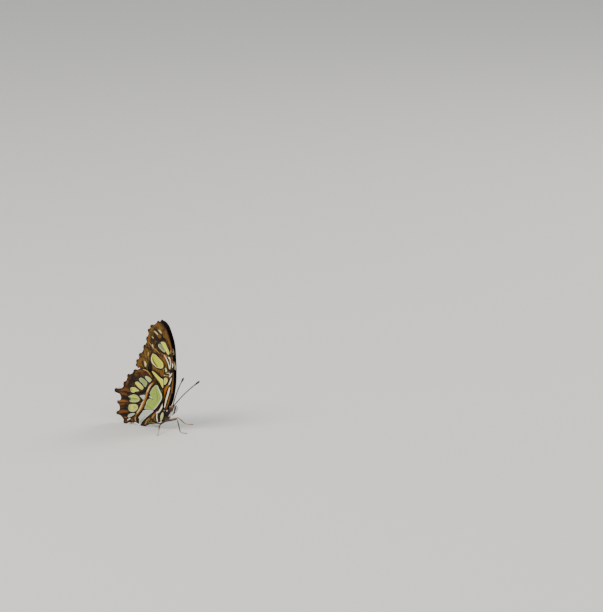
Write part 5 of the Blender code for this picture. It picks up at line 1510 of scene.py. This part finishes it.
legs = {
    "midleg_right": {"hip": (1.4, -1.5, -6.3), "knee": (10.3, -4.2, -3.6),
                     "ankle": (11.6, -3.4, -10.7), "toe": (15.4, -2.3)},
    "midleg_left": {"hip": (1.2, 1.5, -6.2), "knee": (1.9, 8.8, -6.5),
                    "ankle": (2.6, 14.0, -10.7), "toe": (6.3, 17.1)},
    "hindleg_right": {"hip": (-1.2, -1.5, -6.7), "knee": (0.4, -7.4, -7.9),
                      "ankle": (3.0, -12.4, -10.8), "toe": (4.5, -15.4)},
    "hindleg_left": {"hip": (-1.6, 1.2, -7.4), "knee": (-6.3, 3.8, -10.0),
                     "ankle": (-11.8, 5.4, -10.9), "toe": (-15.5, 6.2)},
}
legLook = {
    "femur": [0.38, 0.45, 0.46, 0.38, 0.32], "tibia": [0.31, 0.34, 0.34, 0.31, 0.28],
    "tarsus": 0.23, "tarsusJoints": 5, "knee": 0.27, "ankle": 0.22,
    "tarsusSwell": (0.78, 0.3),         # its share of thickness at a joint's start, and gain
    "claw": (0.07, 0.015), "spur": (0.07, 0.05, 0.012), "spine": (0.035, 0.006), "spines": 23,
    "clawBend": [(0.22, 0.12, 0.08), (0.4, 0.16, -0.08)],       # ahead, beside and up from the toe
    "spurReach": (0.5, 0.3),  # down the leg and beside it
    "spineReach": (0.2, 0.22),                                  # outward and down the leg
    # colours go by the share of the way from hip (0) over knee and ankle to toe (1), and differ on
    # the inner and the outer side, the outer ramp also painting shade on the underside; spurs and spines
    # take theirs from the places named here
    "kneeReach": 0.4, "ankleReach": 0.7,
    "spurPlace": 0.62, "shinSpines": (0.42, 0.68), "footSpines": (0.72, 0.98),
    # the pale stops at the knee (0.4 and 0.41) are a painted highlight on the knee joint
    "midleg": ([(0.0, "#A87C5C"), (0.36, "#C09070"), (0.41, "#E6D2BC"), (0.5, "#CFA878"),
                (0.7, "#D89E54"), (0.85, "#D08A3A"), (1.0, "#8A5024")],
               [(0.0, "#1C100C"), (0.35, "#3E2016"), (0.4, "#B49A84"), (0.44, "#1E1A10"),
                (0.69, "#1A160E"), (0.74, "#A8644A"), (0.9, "#B87250"), (1.0, "#6A3A28")]),
    "hindleg": ([(0.0, "#3A2018"), (0.42, "#54301F"), (0.56, "#8A6450"), (0.64, "#C4A490"),
                 (0.7, "#C8AC98"), (1.0, "#6A4234")],
                [(0.0, "#1A0C0A"), (0.42, "#2C140E"), (0.54, "#4A281C"), (0.6, "#BC9880"),
                 (0.7, "#C8A890"), (0.9, "#A87460"), (1.0, "#3A201A")]),
    "outer": (0.72, -0.5),    # the dark ramp's direction: outward for the dark outer side, and down for painted shade underneath
}


def limbPart(start, end, shares, radii, count, reaches):
    # a straight length of leg: its path, and its tube with the points' reach from hip to toe
    path = curveThrough([start + (end - start) * share for share in shares], 4)
    return path, (sweep(path, radiiThrough(radii, 4), count),
                  tubeField(np.linspace(*reaches, len(path)), count))


def makeLeg(name, leg, shell):
    hip, knee, ankle = (np.array(leg[key]) for key in ("hip", "knee", "ankle"))
    kneeReach, ankleReach = legLook["kneeReach"], legLook["ankleReach"]
    slim, swell = legLook["tarsusSwell"]
    sole = -rootHeight + legLook["tarsus"] * (slim + swell)
    toe = np.array([*leg["toe"], sole])
    heel = (toe + np.array([ankle[0], ankle[1], sole])) / 2
    _, thigh = limbPart(hip, knee, (-0.05, 0.25, 0.5, 0.75, 1.0), legLook["femur"], 14, (0.0, kneeReach))
    shinPath, shin = limbPart(knee, ankle, (0.0, 0.25, 0.5, 0.75, 1.0), legLook["tibia"], 12,
                              (kneeReach, ankleReach))
    instep = ankle + (heel - ankle) * 0.5 + (0, 0, -0.05)
    foot = curveThrough([ankle, instep, heel, (heel + toe) / 2, toe], 10)
    share = np.linspace(0.0, 1.0, len(foot))
    beads = slim + swell * ((share * legLook["tarsusJoints"]) % 1.0) ** 1.5
    # parts are (shape, reach) pairs
    parts = [thigh, shin,
             (sweep(foot, legLook["tarsus"] * beads, 10),
              tubeField(ankleReach + (1.0 - ankleReach) * share, 10)),
             (ball(knee, [legLook["knee"]] * 3, 14, 10), kneeReach),
             (ball(ankle, [legLook["ankle"]] * 3, 12, 8), ankleReach)]
    ahead = unit(toe - heel)
    beside = np.cross(ahead, (0.0, 0.0, 1.0))
    for spread in (-1.0, 1.0):                                              # two claws
        bend = [toe + ahead * far + beside * spread * out + (0, 0, up)
                for far, out, up in legLook["clawBend"]]
        claw = curveThrough([toe, *bend], 4)
        parts.append((sweep(claw, np.linspace(*legLook["claw"], len(claw)), 8), 1.0))
    for spread in (-1.0, 1.0):                                              # two spurs at the ankle
        down, out = legLook["spurReach"]
        tip = ankle + unit(ankle - knee) * down + beside * spread * out
        parts.append((sweep([ankle, (ankle + tip) / 2, tip], legLook["spur"], 6), legLook["spurPlace"]))
    for run, (first, last) in ((shinPath, legLook["shinSpines"]), (foot, legLook["footSpines"])):
        for _ in range(legLook["spines"]):
            spot = draws.integers(1, len(run) - 1)
            line = unit(run[spot] - run[spot - 1])
            out = unit(np.cross(line, draws.normal(0.0, 1.0, 3)))
            if run is foot:
                out[2] = abs(out[2])
            start = run[spot] + out * 0.1
            tip = start + out * legLook["spineReach"][0] + line * legLook["spineReach"][1]
            tip[2] = max(tip[2], -rootHeight + 0.03)                        # above the floor
            reach = first + (last - first) * spot / len(run)
            parts.append((sweep([start, tip], legLook["spine"], 5), reach))
    reach = [np.broadcast_to(value, len(shape[0])) for shape, value in parts]
    addPiece(name.replace("leg", "Leg"), joinParts([shape for shape, _ in parts]), [shell], "leg",
             [name + "_femur", name + "_tibia"], reach=np.concatenate(reach))


def makeLegs():
    outward, upward = legLook["outer"]
    for name, leg in legs.items():
        # Leg cuticle under fine scales: dark on its outer side, cream on its inner side, and darker where
        # it faces down, which is painted shade.
        kind, sideName = name.split("_")
        inner, outer = legLook[kind]
        makeLeg(name, leg, cuticle(kind + "Cuticle_" + sideName, inner, 0.5, outer,
                                   (0.0, sides[sideName] * outward, upward)))
    print("legs stand on the floor")


makeCamera()
makeStudio()
makeFringes(makeWings())
makeBody()
makeEyes()
makePalps()
makeFeelers()
makeTongue()
makeLegs()
makeForelegs()
